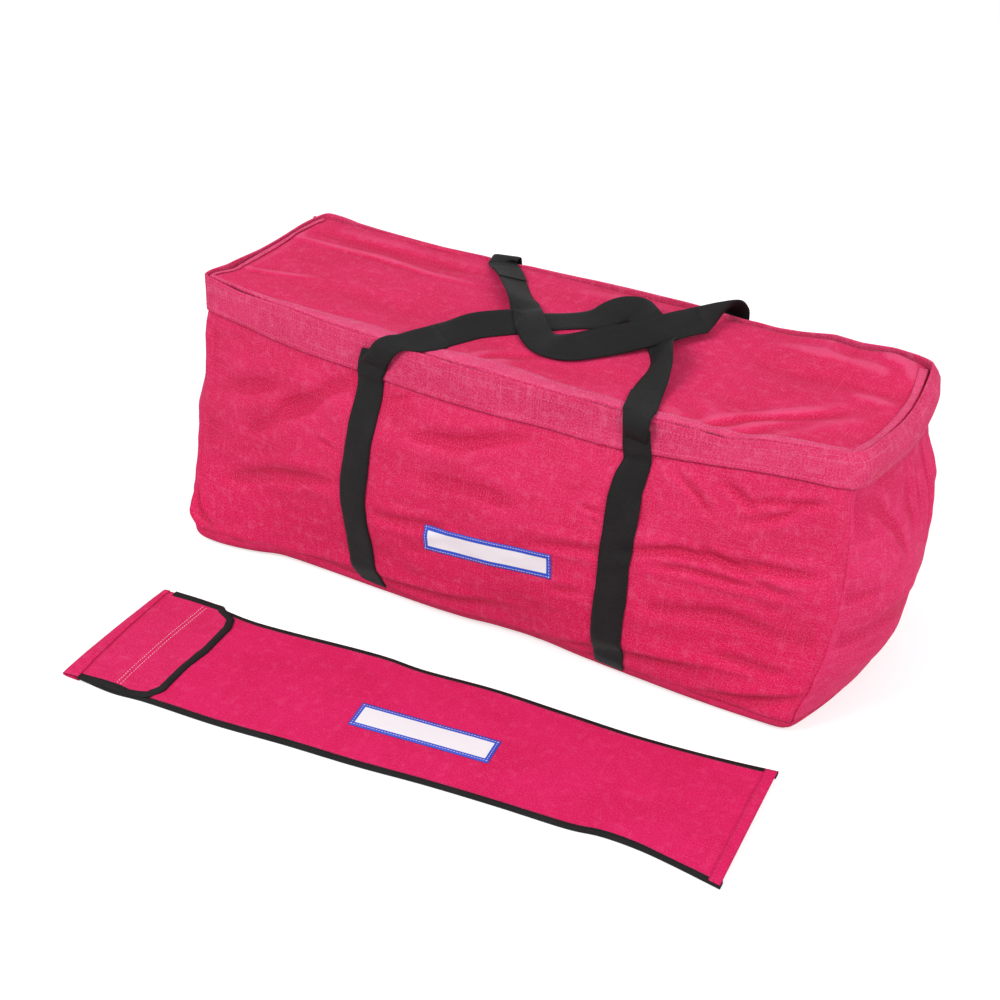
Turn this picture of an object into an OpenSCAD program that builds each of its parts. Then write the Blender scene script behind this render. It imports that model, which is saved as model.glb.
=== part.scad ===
// Canvas gear bag for a lawn game, with its flat pouch.
// Millimetres. The origin is the middle of the bag's base, where it stands on the ground:
// X runs along the bag, Y towards the rear wall that carries the lid, Z up.

/* [Bag] */
// Length of the base between its corners
base_len = 864; // [800:2:920]
// Depth of the base between its corners
base_depth = 360; // [330:2:380]
// Height from the ground to the top of the rim
bag_h = 335; // [310:1:350]
// Length of the rim between its corners
rim_len = 896; // [840:2:930]
// Depth of the rim between its corners
rim_depth = 242; // [236:2:280]
// How far the filled bag leans back at the rim
rim_lean = 23; // [10:1:30]
// Outward bow of the front rim at its middle
rim_front_bow = 46; // [30:1:60]
// Outward bow of the base's front and rear edges
base_side_bow = 18; // [8:1:24]
// Outward bow of the base's end edges
base_end_bow = 30; // [15:1:35]
// Extra belly of the front and rear walls
side_belly = 22; // [10:1:30]
// Extra belly of the end walls
end_belly = 45; // [20:1:50]
// Radius of the soft fold round the base
fold_r = 20; // [19:1:26]
// Height of the seam between the walls and the base
seam_h = 18; // [14:1:18]
// Thickness of a wall with its lining
canvas_t = 2.4; // [1.6:0.1:3]

/* [Rim band] */
// Height of the doubled band under the rim
band_h = 36; // [30:1:60]
// Thickness of the doubled band
band_t = 3; // [2.6:0.1:3.6]

/* [Lid and zip] */
// Thickness of the lid
lid_t = 2.4; // [1.6:0.1:3]
// Gap from the band to the edge of the zip guard
guard_gap = 3; // [1.5:0.1:4]
// Width of the zip guard round the lid
guard_w = 18; // [16:1:22]
// Corner radius of the lid
lid_corner_r = 50; // [40:1:70]
// Depth of the top of the lid below the rim
lid_drop = 1.6; // [1:0.1:4]
// Radius of the rolled rear seam that the lid turns on
roll_r = 2.5; // [2:0.1:3]
// Width of each zip tape
tape_w = 11; // [9:0.5:13]
// Width of the seam that joins the lid's zip tape to the lid
lid_seam_w = 6; // [4:0.5:8]
// Thickness of the zip tapes
tape_t = 0.8; // [0.6:0.1:1]
// Height of the zip coils
coil_h = 2.4; // [2:0.1:2.8]
// Width of one zip coil
coil_w = 2.2; // [1.8:0.1:2.6]
// Gap between the two zip coils
coil_gap = 2; // [1.8:0.1:2.4]
// Depth of the zip below the underside of the guard
zip_drop = 9; // [8.6:0.1:12]

/* [Zip sliders] */
// Length of a slider
slider_len = 16; // [12:1:20]
// Thickness of each slider plate
slider_plate_t = 1.6; // [1.2:0.1:2]
// Width of the post between the slider plates
slider_post_w = 1.2; // [0.8:0.1:1.4]
// Radius of the pin that holds a pull tab
tab_pin_r = 0.7; // [0.5:0.05:0.9]
// Length of a pull tab from its pin
tab_len = 22; // [16:1:26]
// Width of a pull tab
tab_w = 6; // [5:0.5:7]
// Thickness of a pull tab
tab_t = 1.4; // [1:0.1:1.8]
// Distance of the parked sliders from the left front corner
slider_park = 66; // [62:1:120]

/* [Webbing] */
// Width of the webbing
web_w = 40; // [32:1:44]
// Thickness of the webbing
web_t = 2; // [1.6:0.1:2.4]
// Place of the left strap at the base
left_strap_low = -168; // [-200:1:-140]
// Place of the left strap at the rim
left_strap_top = -140; // [-170:1:-120]
// Place of the right strap at the base
right_strap_low = 190; // [160:1:220]
// Place of the right strap at the rim
right_strap_top = 204; // [180:1:230]
// Length of the doubled webbing where a handle's ends are sewn
splice_len = 44; // [30:1:50]

/* [Labels] */
// Width of the plain labels
label_w = 176; // [100:1:190]
// Height of the plain labels
label_h = 33; // [25:1:50]
// Height of the middle of the bag's label above the ground
label_z = 130; // [90:1:180]
// Thickness of the labels
label_t = 0.8; // [0.5:0.1:1.2]

/* [Pouch] */
// Length of the pouch
pouch_len = 824; // [760:2:860]
// Width of the pouch
pouch_w = 188; // [170:2:200]
// Thickness of a pouch panel
pouch_t = 1.6; // [1.2:0.1:2]
// Inside height in the middle of the pouch
pouch_room = 7; // [6.5:0.5:10]
// Distance from the bag's middle forward to the pouch's middle
pouch_forward = 384; // [370:2:420]
// Distance from the bag's middle along to the pouch's middle
pouch_along = 44; // [0:2:80]
// Turn of the pouch from the bag's length
pouch_turn = 5; // [0:1:6]
// Length of the flap over the pouch's mouth
flap_len = 110; // [90:2:130]
// Width of the folded tape that binds the pouch's edges
binding_w = 10; // [8:1:14]
// Thickness of the folded tape
binding_t = 0.9; // [0.6:0.1:1.2]
// Width of the hook and loop strips
hook_w = 25; // [16:1:30]
// Length of the hook and loop strips
hook_len = 140; // [100:2:150]

/* [Hidden] */

// Colours
pink = [0.87, 0.22, 0.40];
pale_pink = [0.88, 0.27, 0.44];
deep_pink = [0.85, 0.11, 0.36];
black = [0.14, 0.13, 0.13];
dark_metal = [0.25, 0.25, 0.27];
white = [0.93, 0.93, 0.92];

// Sides of the bag, counted from the front towards the right
FRONT = 0;
RIGHT = 1;
REAR = 2;
LEFT = 3;
low_bow = [base_side_bow, base_end_bow, base_side_bow, base_end_bow];
high_bow = [rim_front_bow, 0, 0, 0];
belly = [side_belly, end_belly, side_belly, end_belly];

// Clearances
skin_gap = 0.6;     // webbing over canvas
joint_gap = 0.3;    // between bodies that turn or slide past each other
pin_gap = 0.05;     // a pull tab round its pin
slider_gap = 0.4;   // a slider plate over its coils
lie_gap = 3.4;      // handles over the rim when they lie flat
cross_gap = 4.2;    // middle of the rear handle over the front one where it crosses it

// Heights
band_z = bag_h - band_h;
lid_top = bag_h - lid_drop;
lid_under = lid_top - lid_t;
zip_z = lid_under - zip_drop;           // middle of the zip coils
tape_z = zip_z - coil_h/2 - tape_t;      // underside of the zip tapes
roll_y = rim_lean + rim_depth/2 - band_t - joint_gap - roll_r;
roll_z = lid_top - lid_t/2;

// Seam bindings inside the bag
seam_in = canvas_t + 0.8;               // inset of their outer face from the outside of the walls
tape_fold = 2;                          // thickness of a folded binding

// Insets from the outside of the rim, towards the middle of the bag
guard_in = band_t + guard_gap;
lid_in = guard_in + guard_w;
coil_in = band_t + tape_w;              // outer edge of the body's coil
lid_coil_in = coil_in + coil_w + coil_gap;
lid_tape_in = lid_coil_in + coil_w;
zip_mid_in = coil_in + coil_w + coil_gap/2;
zip_stop_len = 5;                       // end stops, along the zip
rear_end_y = roll_y - zip_stop_len - 4; // where the zip stops short of the rear seam
guard_end_y = roll_y - 6;               // and where its guard does

// Handles
handle_z = bag_h + lie_gap;
front_lie_z = handle_z + 2.6;           // middle of the front handle where it lies on the lid
rear_lie_z = front_lie_z + cross_gap;
rear_foot_z = handle_z + 1.6;
rear_foot_in = [16, -22];               // feet of the rear handle, along from the straps
front_hinge_y = rim_lean - rim_depth/2 - rim_front_bow - 4;
rear_hinge_y = roll_y - 5;
strap_top_z = bag_h + skin_gap;
rear_strap_top_z = bag_h - 6;

// A zip slider's own heights, from the middle of the tapes
plate_z = coil_h/2 + slider_gap;
tab_boss_r = tab_pin_r + 0.9;
tab_pin_z = plate_z + slider_plate_t + tab_boss_r + 0.2;
slider_w = 2*coil_w + coil_gap + 3;

// The curve of the front rim
bow_r = (pow(rim_len/2, 2) + pow(rim_front_bow, 2))/(2*rim_front_bow);
bow_y = rim_lean - rim_depth/2 - rim_front_bow + bow_r;
park_x = rim_len/2 - slider_park;
park_turn = asin(park_x/bow_r);

// The pouch's own heights and places along it
pouch_inner_w = pouch_w - 2*binding_t;
edge_room = 0.4;                        // inside height at the long edges
lay = 0.05;                             // between layers that are sewn together
hook_t = 1;
front_top = 2*pouch_t;                  // top of the front panel over the inside
flap_low = front_top + 2*hook_t + 2*lay + joint_gap;
fold_x = -pouch_len/2 + 8;
mouth_x = fold_x + 8;
flap_end = -pouch_len/2 + flap_len;
hook_x = flap_end - binding_w - 6 - hook_w;
pouch_label_x = 22;
flap_hinge_z = (flap_low + pouch_t + binding_t + lay + pouch_room + edge_room + joint_gap)/2;

// Steps along the soft panels
wall_steps = 20;
wall_rows = 11;
ring_steps = 14;
step = 0.01;        // share of a side over which a tangent is taken

// ---------- shape of the filled bag ----------

function mix(a, b, v) = a + (b - a)*v;
function unit(v) = v/norm(v);
function swell(v) = sin(180*min(v/0.9, 1));
function tuck(z) = z < fold_r ? fold_r - sqrt(fold_r*fold_r - pow(fold_r - z, 2)) : 0;
function half_len(z, inset) = mix(base_len, rim_len, z/bag_h)/2 - tuck(z) - inset;
function half_depth(z, inset) = mix(base_depth, rim_depth, z/bag_h)/2 - tuck(z) - inset;
function bow(side, z) = mix(low_bow[side], high_bow[side], z/bag_h) + belly[side]*swell(z/bag_h);

// A point on one side: t runs from -1 to 1 along it, anticlockwise seen from above
function side_point(side, t, z, inset = 0) =
    let(a = half_len(z, inset), b = half_depth(z, inset), w = bow(side, z)*(1 - t*t), lean = rim_lean*z/bag_h)
    side == FRONT ? [a*t, lean - b - w, z] :
    side == RIGHT ? [a + w, lean + b*t, z] :
    side == REAR ? [-a*t, lean + b + w, z] :
    [-a - w, lean - b*t, z];

function side_normal(side, t, z) =
    let(along = side_point(side, t + step, z) - side_point(side, t - step, z),
        up = side_point(side, t, z + 1) - side_point(side, t, z - 0.5))
    unit(cross(along, up));

// All four sides at one height, as one closed run of points
function ring(z, inset = 0, steps = ring_steps) =
    [for (side = [0:3]) for (i = [0:steps - 1]) side_point(side, -1 + 2*i/steps, z, inset)];

// ---------- solids from rows of points ----------

// Solid through sections that each hold the same even number of points: the first half of a
// section is its outer line and the second half is its inner line, run back the other way
module loft(sections, closed = false) {
    n = len(sections[0]);
    k = len(sections);
    last = closed ? k - 1 : k - 2;
    sides = [for (s = [0:last]) for (i = [0:n - 1]) for (half = [0, 1])
        let(a = s*n + i, b = s*n + (i + 1) % n, c = ((s + 1) % k)*n + (i + 1) % n, d = ((s + 1) % k)*n + i)
        half == 0 ? [a, b, c] : [a, c, d]];
    start = [for (i = [0:n/2 - 2]) for (half = [0, 1])
        let(a = i, b = i + 1, c = n - 2 - i, d = n - 1 - i)
        half == 0 ? [a, c, b] : [a, d, c]];
    end = [for (i = [0:n/2 - 2]) for (half = [0, 1])
        let(a = i, b = i + 1, c = n - 2 - i, d = n - 1 - i, o = (k - 1)*n)
        half == 0 ? [o + a, o + b, o + c] : [o + a, o + c, o + d]];
    polyhedron([for (s = sections) each s], closed ? sides : concat(sides, start, end));
}

// Solid through a stack of closed runs, with a flat face over the first and the last
module stack(runs) {
    n = len(runs[0]);
    k = len(runs);
    sides = [for (s = [0:k - 2]) for (i = [0:n - 1]) for (half = [0, 1])
        let(a = s*n + i, b = s*n + (i + 1) % n, c = (s + 1)*n + (i + 1) % n, d = (s + 1)*n + i)
        half == 0 ? [a, c, b] : [a, d, c]];
    first = [for (i = [0:n - 1]) i];
    last = [for (i = [0:n - 1]) k*n - 1 - i];
    polyhedron([for (r = runs) each r], concat(sides, [first, last]));
}

// One wall between two heights
module wall(side, low, high, inset, thickness, steps = wall_steps, rows = wall_rows) {
    heights = [for (r = [0:rows]) mix(low, high, r/rows)];
    loft([for (i = [0:steps])
        let(t = -1 + 2*i/steps)
        concat([for (z = heights) side_point(side, t, z, inset)],
            [for (r = [rows:-1:0]) side_point(side, t, heights[r], inset + thickness)])]);
}

// ---------- webbing ----------

// A section of webbing: middle point, direction across, outward direction
function web_section(p, across, out, width = web_w, thickness = web_t) =
    [p - across*width/2 + out*thickness/2, p + across*width/2 + out*thickness/2,
     p + across*width/2 - out*thickness/2, p - across*width/2 - out*thickness/2];

function strap_x(low, top, z) = mix(low, top, z/bag_h);

// A strap starts to rise over the rim band this far below it
band_ramp = 12;

// How far the middle of a strap stands off the canvas; under the base it is let in flush
function strap_offset(z) =
    let(proud = web_t/2 + skin_gap + (z > band_z - band_ramp ? band_t - canvas_t + skin_gap : 0))
    z >= fold_r ? proud : mix(-web_t/2, proud, z/fold_r);

function strap_section(side, low, top, z) =
    let(x = strap_x(low, top, z), t = (side == FRONT ? 1 : -1)*x/half_len(z, 0),
        out = z > 0.1 ? side_normal(side, t, z) : [0, 0, -1],
        along = side_point(side, t + step, z) - side_point(side, t - step, z),
        across = unit(side == FRONT ? along : -along),
        square = unit(across - out*(across*out)))
    web_section(side_point(side, t, z) + out*strap_offset(z), square, out);

// Angles round the fold of the base from its foot, and the heights that they reach
fold_angles = [22.5, 45, 67.5];
function fold_heights() = [for (a = [90, 67.5, 45, 22.5]) fold_r*(1 - cos(a))];

module girth_strap(low, top) {
    climb = [for (i = [1:12]) mix(fold_r, band_z - band_ramp, i/12)];
    front = concat(climb, [band_z, mix(band_z, strap_top_z, 0.5), strap_top_z]);
    rear = concat(climb, [band_z, mix(band_z, rear_strap_top_z, 0.5), rear_strap_top_z]);
    falls = [for (i = [len(rear) - 1:-1:0]) rear[i]];
    down = concat(falls, fold_heights(), [0]);
    up = concat([for (i = [3:-1:0]) fold_heights()[i]], front);
    loft(concat([for (z = down) strap_section(REAR, low, top, z)],
        [strap_section(FRONT, low, top, 0)],
        [for (z = up) strap_section(FRONT, low, top, z)]));
}

// The room that a strap takes in the base and its curl, with its clearance
module strap_channel(low, top) {
    width = web_w + 2*skin_gap;
    half = web_t/2 + 0.1;
    outside = 4;
    reach = base_depth + 2*base_side_bow;
    x = strap_x(low, top, 0);
    falls = concat(fold_heights(), [0]);
    climbs = [for (i = [len(falls) - 1:-1:0]) falls[i]];
    translate([x - width/2, -reach/2, -outside]) cube([width, reach, outside + web_t/2 + half]);
    for (side = [FRONT, REAR])
        loft([for (z = side == FRONT ? climbs : falls)
            let(s = strap_section(side, low, top, z), across = unit(s[1] - s[0]), out = unit(s[1] - s[2]))
            web_section((s[0] + s[2])/2 + out*(outside - half)/2, across, out, width, outside + half)]);
}

// Smooth line through a few chosen points
function spline_point(a, b, c, d, v) =
    0.5*((2*b) + (c - a)*v + (2*a - 5*b + 4*c - d)*v*v + (3*b - a - 3*c + d)*v*v*v);
function spline(points, steps) =
    let(n = len(points))
    [for (i = [0:n - 2]) for (s = [0:steps - 1])
        spline_point(points[max(i - 1, 0)], points[i], points[i + 1], points[min(i + 2, n - 1)], s/steps),
     points[n - 1]];

// Route of each handle from its left foot to its right foot, as it lies on the lid
front_run = [
    [-131, -120], [-108, -84], [-70, -38], [-30, -4], [4, 24], [32, 58], [52, 92], [80, 112], [112, 100],
    [140, 68], [160, 28], [174, -16], [186, -62], [196, -104]
];
rear_run = [
    [-121, 113], [-104, 93], [-75, 72], [-46, 46], [-18, 20], [10, -8], [34, -31], [60, -40], [86, -26],
    [106, -2], [124, 26], [140, 54], [156, 80], [174, 103]
];
front_route = [
    [left_strap_top, front_hinge_y + 1, handle_z],
    for (p = front_run) [p[0], p[1], front_lie_z],
    [right_strap_top, front_hinge_y + 1, handle_z]
];
rear_route = [
    [left_strap_top + rear_foot_in[0], rear_hinge_y - 1, rear_foot_z],
    for (p = rear_run) [p[0], p[1], rear_lie_z],
    [right_strap_top + rear_foot_in[1], rear_hinge_y - 1, rear_foot_z]
];
// Place along each route, counted in steps, where its splice starts
front_splice_from = 38;
rear_splice_from = 5;

// A flat piece of the webbing at one step of a route; both ends stand square to Y
function flat_section(points, i, lift = 0) =
    let(n = len(points), ahead = points[min(i + 1, n - 1)], behind = points[max(i - 1, 0)],
        run = unit([ahead[0] - behind[0], ahead[1] - behind[1], 0]),
        across = i == 0 || i == n - 1 ? [sign(run[1]), 0, 0] : cross(run, [0, 0, 1]))
    web_section(points[i] + [0, 0, lift], across, [0, 0, 1]);

module handle_loop(route) {
    points = spline(route, 3);
    loft([for (i = [0:len(points) - 1]) flat_section(points, i)]);
}

// Doubled webbing on a stretch of a handle, over the loop
module handle_splice(route, from) {
    points = spline(route, 3);
    reached = [for (i = [0:len(points) - 1]) if (i >= from && norm(points[i] - points[from]) <= splice_len) i];
    loft([for (i = reached) flat_section(points, i, web_t + lay)]);
}

// ---------- bag pieces ----------

module base_panel() {
    inside_r = fold_r - canvas_t;
    function inner_ring(a) =
        let(z = fold_r - inside_r*cos(a)) ring(z, fold_r - inside_r*sin(a) - tuck(z));
    color(deep_pink) difference() {
        stack(concat([ring(0)], [for (a = fold_angles) ring(fold_r*(1 - cos(a)))], [ring(seam_h)],
            [ring(seam_h, canvas_t)], [for (i = [2:-1:0]) inner_ring(fold_angles[i])], [inner_ring(0)]));
        strap_channel(left_strap_low, left_strap_top);
        strap_channel(right_strap_low, right_strap_top);
    }
}

module front_wall() {
    color(pink) wall(FRONT, seam_h, band_z, 0, canvas_t);
}

module right_end_wall() {
    color(pink) wall(RIGHT, seam_h, band_z, 0, canvas_t, 10);
}

module rear_wall() {
    color(pink) wall(REAR, seam_h, band_z, 0, canvas_t);
}

module left_end_wall() {
    color(pink) wall(LEFT, seam_h, band_z, 0, canvas_t, 10);
}

// The band stands on the walls and is doubled, so it is a little thicker than they are
module rim_band() {
    color(pale_pink) loft([
        ring(band_z), ring(mix(band_z, bag_h, 0.5)), ring(bag_h),
        ring(bag_h, band_t), ring(mix(band_z, bag_h, 0.5), band_t), ring(band_z, band_t)
    ], closed = true);
}

// Tape that binds the seam between walls and base, inside the bag
module base_seam_binding() {
    low = seam_h - 2;
    high = seam_h + 6;
    color(black) loft([
        ring(low, seam_in), ring(high, seam_in), ring(high, seam_in + tape_fold), ring(low, seam_in + tape_fold)
    ], closed = true);
}

// Tape that binds the four upright seams, inside the bag
module corner_seam_bindings() {
    heights = [for (i = [0:8]) mix(seam_h + 8, band_z - 1, i/8)];
    reach = 0.985;      // share of a side up to its corner where the tape starts
    color(black) for (corner = [0:3]) {
        next = (corner + 1) % 4;
        loft([for (z = heights) [
            side_point(next, -1, z, seam_in), side_point(corner, reach, z, seam_in),
            side_point(corner, reach, z, seam_in + tape_fold), side_point(next, -1, z, seam_in + tape_fold + 1)]]);
    }
}

module left_girth_strap() {
    color(black) girth_strap(left_strap_low, left_strap_top);
}

module right_girth_strap() {
    color(black) girth_strap(right_strap_low, right_strap_top);
}

// Where the webbing turns over the rear rim, from each strap to the foot of the rear handle
module rear_strap_turns() {
    foot = [rear_hinge_y + 0.4, rear_foot_z];
    color(black) for (place = [[left_strap_top, left_strap_top + rear_foot_in[0]],
            [right_strap_top, right_strap_top + rear_foot_in[1]]]) {
        under = strap_section(REAR, place[0], place[0], rear_strap_top_z + 0.4);
        start = (under[0] + under[2])/2;
        loft([for (i = [0:6])
            let(v = i/6, a = 90*v,
                y = start[1] - (start[1] - foot[0])*(1 - cos(a)),
                z = start[2] + (foot[1] - start[2])*sin(a))
            web_section([mix(place[0], place[1], v), y, z], [1, 0, 0], [0, cos(a), sin(a)])]);
    }
}

// Plain label on the front wall
module front_label() {
    middle = (left_strap_low + right_strap_low)/2 + 12;
    steps = 8;
    color(white) loft([for (i = [0:steps])
        let(x = middle + label_w*(i/steps - 0.5))
        [for (corner = [[-1, 0.1], [1, 0.1], [1, 0], [-1, 0]])
            let(z = label_z + corner[0]*label_h/2, t = x/half_len(z, 0))
            side_point(FRONT, t, z) + side_normal(FRONT, t, z)*(0.3 + (corner[1] > 0 ? label_t : 0))]]);
}

// ---------- zip and lid ----------

// The rim's outline, drawn in by an inset and rounded at its front corners; it runs on past the
// rear, so that its rear corners stay square where a strip or the lid is cut off there
module rim_outline(inset) {
    rear_y = rim_lean + rim_depth/2;
    points = [for (p = ring(bag_h)) [p[0], p[1] + (p[1] > rear_y - 1 ? 2*lid_corner_r : 0)]];
    offset(r = max(lid_corner_r - inset, 1), $fn = 48) offset(delta = -max(lid_corner_r, inset + 1)) polygon(points);
}

// A strip that follows the zip's track between two insets
module track_strip(outer_in, inner_in, low, high, rear = rear_end_y) {
    translate([0, 0, low]) linear_extrude(high - low) intersection() {
        difference() {
            rim_outline(outer_in);
            rim_outline(inner_in);
        }
        translate([-rim_len, -2*rim_depth]) square([2*rim_len, 2*rim_depth + rear]);
    }
}

module body_zip_tape() {
    color(black) track_strip(band_t, coil_in + coil_w - 0.2, tape_z, tape_z + tape_t);
}

module body_zip_coil() {
    color(black) track_strip(coil_in, coil_in + coil_w, zip_z - coil_h/2, zip_z + coil_h/2);
}

module lid_zip_tape() {
    color(black) {
        track_strip(lid_coil_in + 0.2, lid_in + lid_seam_w, tape_z, tape_z + tape_t);
        track_strip(lid_in + lid_seam_w/2, lid_in + lid_seam_w, tape_z + tape_t, lid_under);
    }
}

module lid_zip_coil() {
    color(black) track_strip(lid_coil_in, lid_tape_in, zip_z - coil_h/2, zip_z + coil_h/2);
}

module zip_end_stops() {
    color(dark_metal) for (side = [-1, 1])
        translate([side*(rim_len/2 - coil_in - coil_w/2) - 2.2, rear_end_y + 0.1, zip_z - coil_h/2])
            cube([4.4, zip_stop_len, coil_h]);
}

module lid_panel() {
    color(pink) translate([0, 0, lid_under]) linear_extrude(lid_t) intersection() {
        rim_outline(lid_in);
        translate([-rim_len, -2*rim_depth]) square([2*rim_len, 2*rim_depth + roll_y - roll_r + 0.4]);
    }
}

// Rolled seam along the rear edge, which the lid turns on
module lid_rear_roll() {
    length = rim_len - 2*lid_in - 2;
    color(pink) translate([-length/2, roll_y, roll_z]) rotate([0, 90, 0]) cylinder(h = length, r = roll_r, $fn = 32);
}

// Loose strip round the lid that lies over the zip
module lid_zip_guard() {
    color(pale_pink) track_strip(guard_in, lid_in, lid_under, lid_top, guard_end_y);
}

// A slider stands at the origin with its zip along X; its tab lies towards the parked corner
module zip_slider() {
    ear = 1.2;
    ear_gap = tab_w/2 - 1;
    bottom = -coil_h/2 - tape_t - slider_gap - slider_plate_t;
    color(dark_metal) {
        translate([0, 0, bottom]) linear_extrude(slider_plate_t)
            offset(r = 2, $fn = 24) square([slider_len - 4, slider_w - 4], center = true);
        translate([0, 0, plate_z]) linear_extrude(slider_plate_t)
            offset(r = 2, $fn = 24) square([slider_len - 4, slider_w - 4], center = true);
        translate([2, -slider_post_w/2, bottom + slider_plate_t - 0.1])
            cube([slider_len/2 - 3, slider_post_w, plate_z - bottom - slider_plate_t + 0.2]);
        for (side = [-1, 1])
            translate([-tab_boss_r, side*(ear_gap + ear/2 + 0.15) - ear/2, plate_z + slider_plate_t - 0.1])
                cube([2*tab_boss_r, ear, tab_pin_z + tab_pin_r + 0.5 - plate_z - slider_plate_t]);
        translate([0, ear_gap + ear, tab_pin_z]) rotate([90, 0, 0])
            cylinder(h = 2*(ear_gap + ear), r = tab_pin_r, $fn = 24);
    }
}

module pull_tab() {
    eye = tab_w/2 - 1;
    color(dark_metal) difference() {
        union() {
            translate([0, eye, tab_pin_z]) rotate([90, 0, 0]) cylinder(h = 2*eye, r = tab_boss_r, $fn = 24);
            translate([-6, -eye, tab_pin_z - tab_t/2]) cube([6, 2*eye, tab_t]);
            translate([-tab_len, -tab_w/2, tab_pin_z - tab_t/2]) cube([tab_len - 5.9, tab_w, tab_t]);
        }
        translate([0, eye + 1, tab_pin_z]) rotate([90, 0, 0])
            cylinder(h = 2*eye + 2, r = tab_pin_r + pin_gap, $fn = 24);
        translate([-tab_len + 4, 0, tab_pin_z - tab_t]) cylinder(h = 2*tab_t, r = 1.2, $fn = 24);
    }
}

// Puts a child on the front track at its parked place
module on_front_track() {
    translate([0, bow_y, zip_z]) rotate([0, 0, -park_turn])
        translate([0, -bow_r + zip_mid_in, 0]) children();
}

// Puts a child on the left track at its parked place
module on_left_track() {
    translate([-rim_len/2 + zip_mid_in, rim_lean - rim_depth/2 + slider_park, zip_z])
        rotate([0, 0, 90]) children();
}

module front_slider() {
    on_front_track() zip_slider();
}

module front_pull_tab() {
    on_front_track() pull_tab();
}

module left_slider() {
    on_left_track() zip_slider();
}

module left_pull_tab() {
    on_left_track() pull_tab();
}

// ---------- handles ----------

module front_handle() {
    color(black) handle_loop(front_route);
}

module front_handle_splice() {
    color(black) handle_splice(front_route, front_splice_from);
}

module rear_handle() {
    color(black) handle_loop(rear_route);
}

module rear_handle_splice() {
    color(black) handle_splice(rear_route, rear_splice_from);
}

// ---------- pouch ----------

// Height inside the pouch at a share v of its half width
function pouch_rise(v) = pouch_room*(1 - v*v) + edge_room;

module in_pouch() {
    translate([pouch_along, -pouch_forward, 0]) rotate([0, 0, pouch_turn]) children();
}

// A crowned sheet over the pouch between two places along it; low is its height over the inside
module crowned_sheet(from, to, half_w, low, thickness, steps = 12, rows = 12) {
    widths = [for (r = [0:rows]) half_w*(2*r/rows - 1)];
    loft([for (i = [0:steps])
        let(x = mix(from, to, i/steps))
        concat([for (y = widths) [x, y, low + thickness + pouch_rise(2*y/pouch_w)]],
            [for (r = [rows:-1:0]) [x, widths[r], low + pouch_rise(2*widths[r]/pouch_w)]])]);
}

// Tape folded over a long edge at a height, from one place along the pouch to another
module edge_tape(side, from, to, low, bottom) {
    inner = pouch_w/2 - binding_w;
    outer = pouch_w/2;
    edge = outer - binding_t;
    top_in = low + pouch_rise(inner/outer);
    top_out = low + pouch_rise(edge/outer);
    section = [[inner, top_in + binding_t], [outer, top_out + binding_t], [outer, bottom],
        [edge, bottom], [edge, top_out], [inner, top_in]];
    ends = side > 0 ? [from, to] : [to, from];
    loft([for (x = ends) [for (p = section) [x, side*p[0], p[1]]]]);
}

module pouch_back_panel() {
    color(deep_pink) in_pouch()
        translate([fold_x, -pouch_inner_w/2, 0]) cube([pouch_len/2 - 2 - fold_x, pouch_inner_w, pouch_t]);
}

module pouch_front_panel() {
    color(deep_pink) in_pouch()
        crowned_sheet(mouth_x, pouch_len/2 - 2, pouch_inner_w/2, pouch_t, pouch_t);
}

module pouch_front_binding() {
    color(black) in_pouch() edge_tape(-1, mouth_x, pouch_len/2 - 2, front_top + lay, 0);
}

module pouch_rear_binding() {
    color(black) in_pouch() edge_tape(1, mouth_x, pouch_len/2 - 2, front_top + lay, 0);
}

// Turned end of the pouch, away from its mouth
module pouch_end_hem() {
    rows = 12;
    widths = [for (r = [0:rows]) pouch_inner_w*(r/rows - 0.5)];
    color(deep_pink) in_pouch()
        loft([for (x = [pouch_len/2 - 2, pouch_len/2])
            concat([for (y = widths) [x, y, front_top + pouch_rise(2*y/pouch_w)]],
                [for (r = [rows:-1:0]) [x, widths[r], 0]])]);
}

// Turned edge of the front panel at the mouth
module pouch_mouth_hem() {
    color(deep_pink) in_pouch()
        crowned_sheet(mouth_x + 2, mouth_x + 20, pouch_inner_w/2 - binding_w, front_top + lay, 0.8, 2);
}

module pouch_loop_strip() {
    color(black) in_pouch()
        crowned_sheet(hook_x, hook_x + hook_w, hook_len/2, front_top + lay, hook_t, 2);
}

module pouch_label() {
    color(white) in_pouch()
        crowned_sheet(pouch_label_x - label_w/2, pouch_label_x + label_w/2, label_h/2, front_top + lay, label_t, 4, 4);
}

// Bend of canvas that joins the back panel to the flap round the mouth's end
module flap_fold() {
    rows = 12;
    turns = 8;
    reach = fold_x + pouch_len/2 - pouch_t/2;
    function bend(y, a, r) =
        let(top = flap_low + pouch_t/2 + pouch_rise(2*y/pouch_w), middle = (top + pouch_t/2)/2)
        [fold_x - joint_gap/2 - (reach + r)*sin(a), y, middle - (middle - pouch_t/2 + r)*cos(a)];
    color(deep_pink) in_pouch()
        loft([for (k = [0:rows])
            let(y = pouch_inner_w*(k/rows - 0.5))
            concat([for (i = [0:turns]) bend(y, 180*i/turns, pouch_t/2)],
                [for (i = [turns:-1:0]) bend(y, 180*i/turns, -pouch_t/2)])]);
}

module flap_panel() {
    color(deep_pink) in_pouch()
        crowned_sheet(fold_x + joint_gap, flap_end - 1, pouch_inner_w/2, flap_low, pouch_t, 6);
}

module flap_binding() {
    color(black) in_pouch() {
        crowned_sheet(flap_end - binding_w, flap_end, pouch_inner_w/2 - binding_w, flap_low + pouch_t + lay,
            binding_t, 2);
        for (side = [-1, 1])
            edge_tape(side, fold_x + joint_gap, flap_end, flap_low + pouch_t + lay, flap_low + edge_room);
    }
}

module flap_hook_strip() {
    color(black) in_pouch()
        crowned_sheet(hook_x, hook_x + hook_w, hook_len/2, flap_low - lay - hook_t, hook_t, 2);
}

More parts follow.
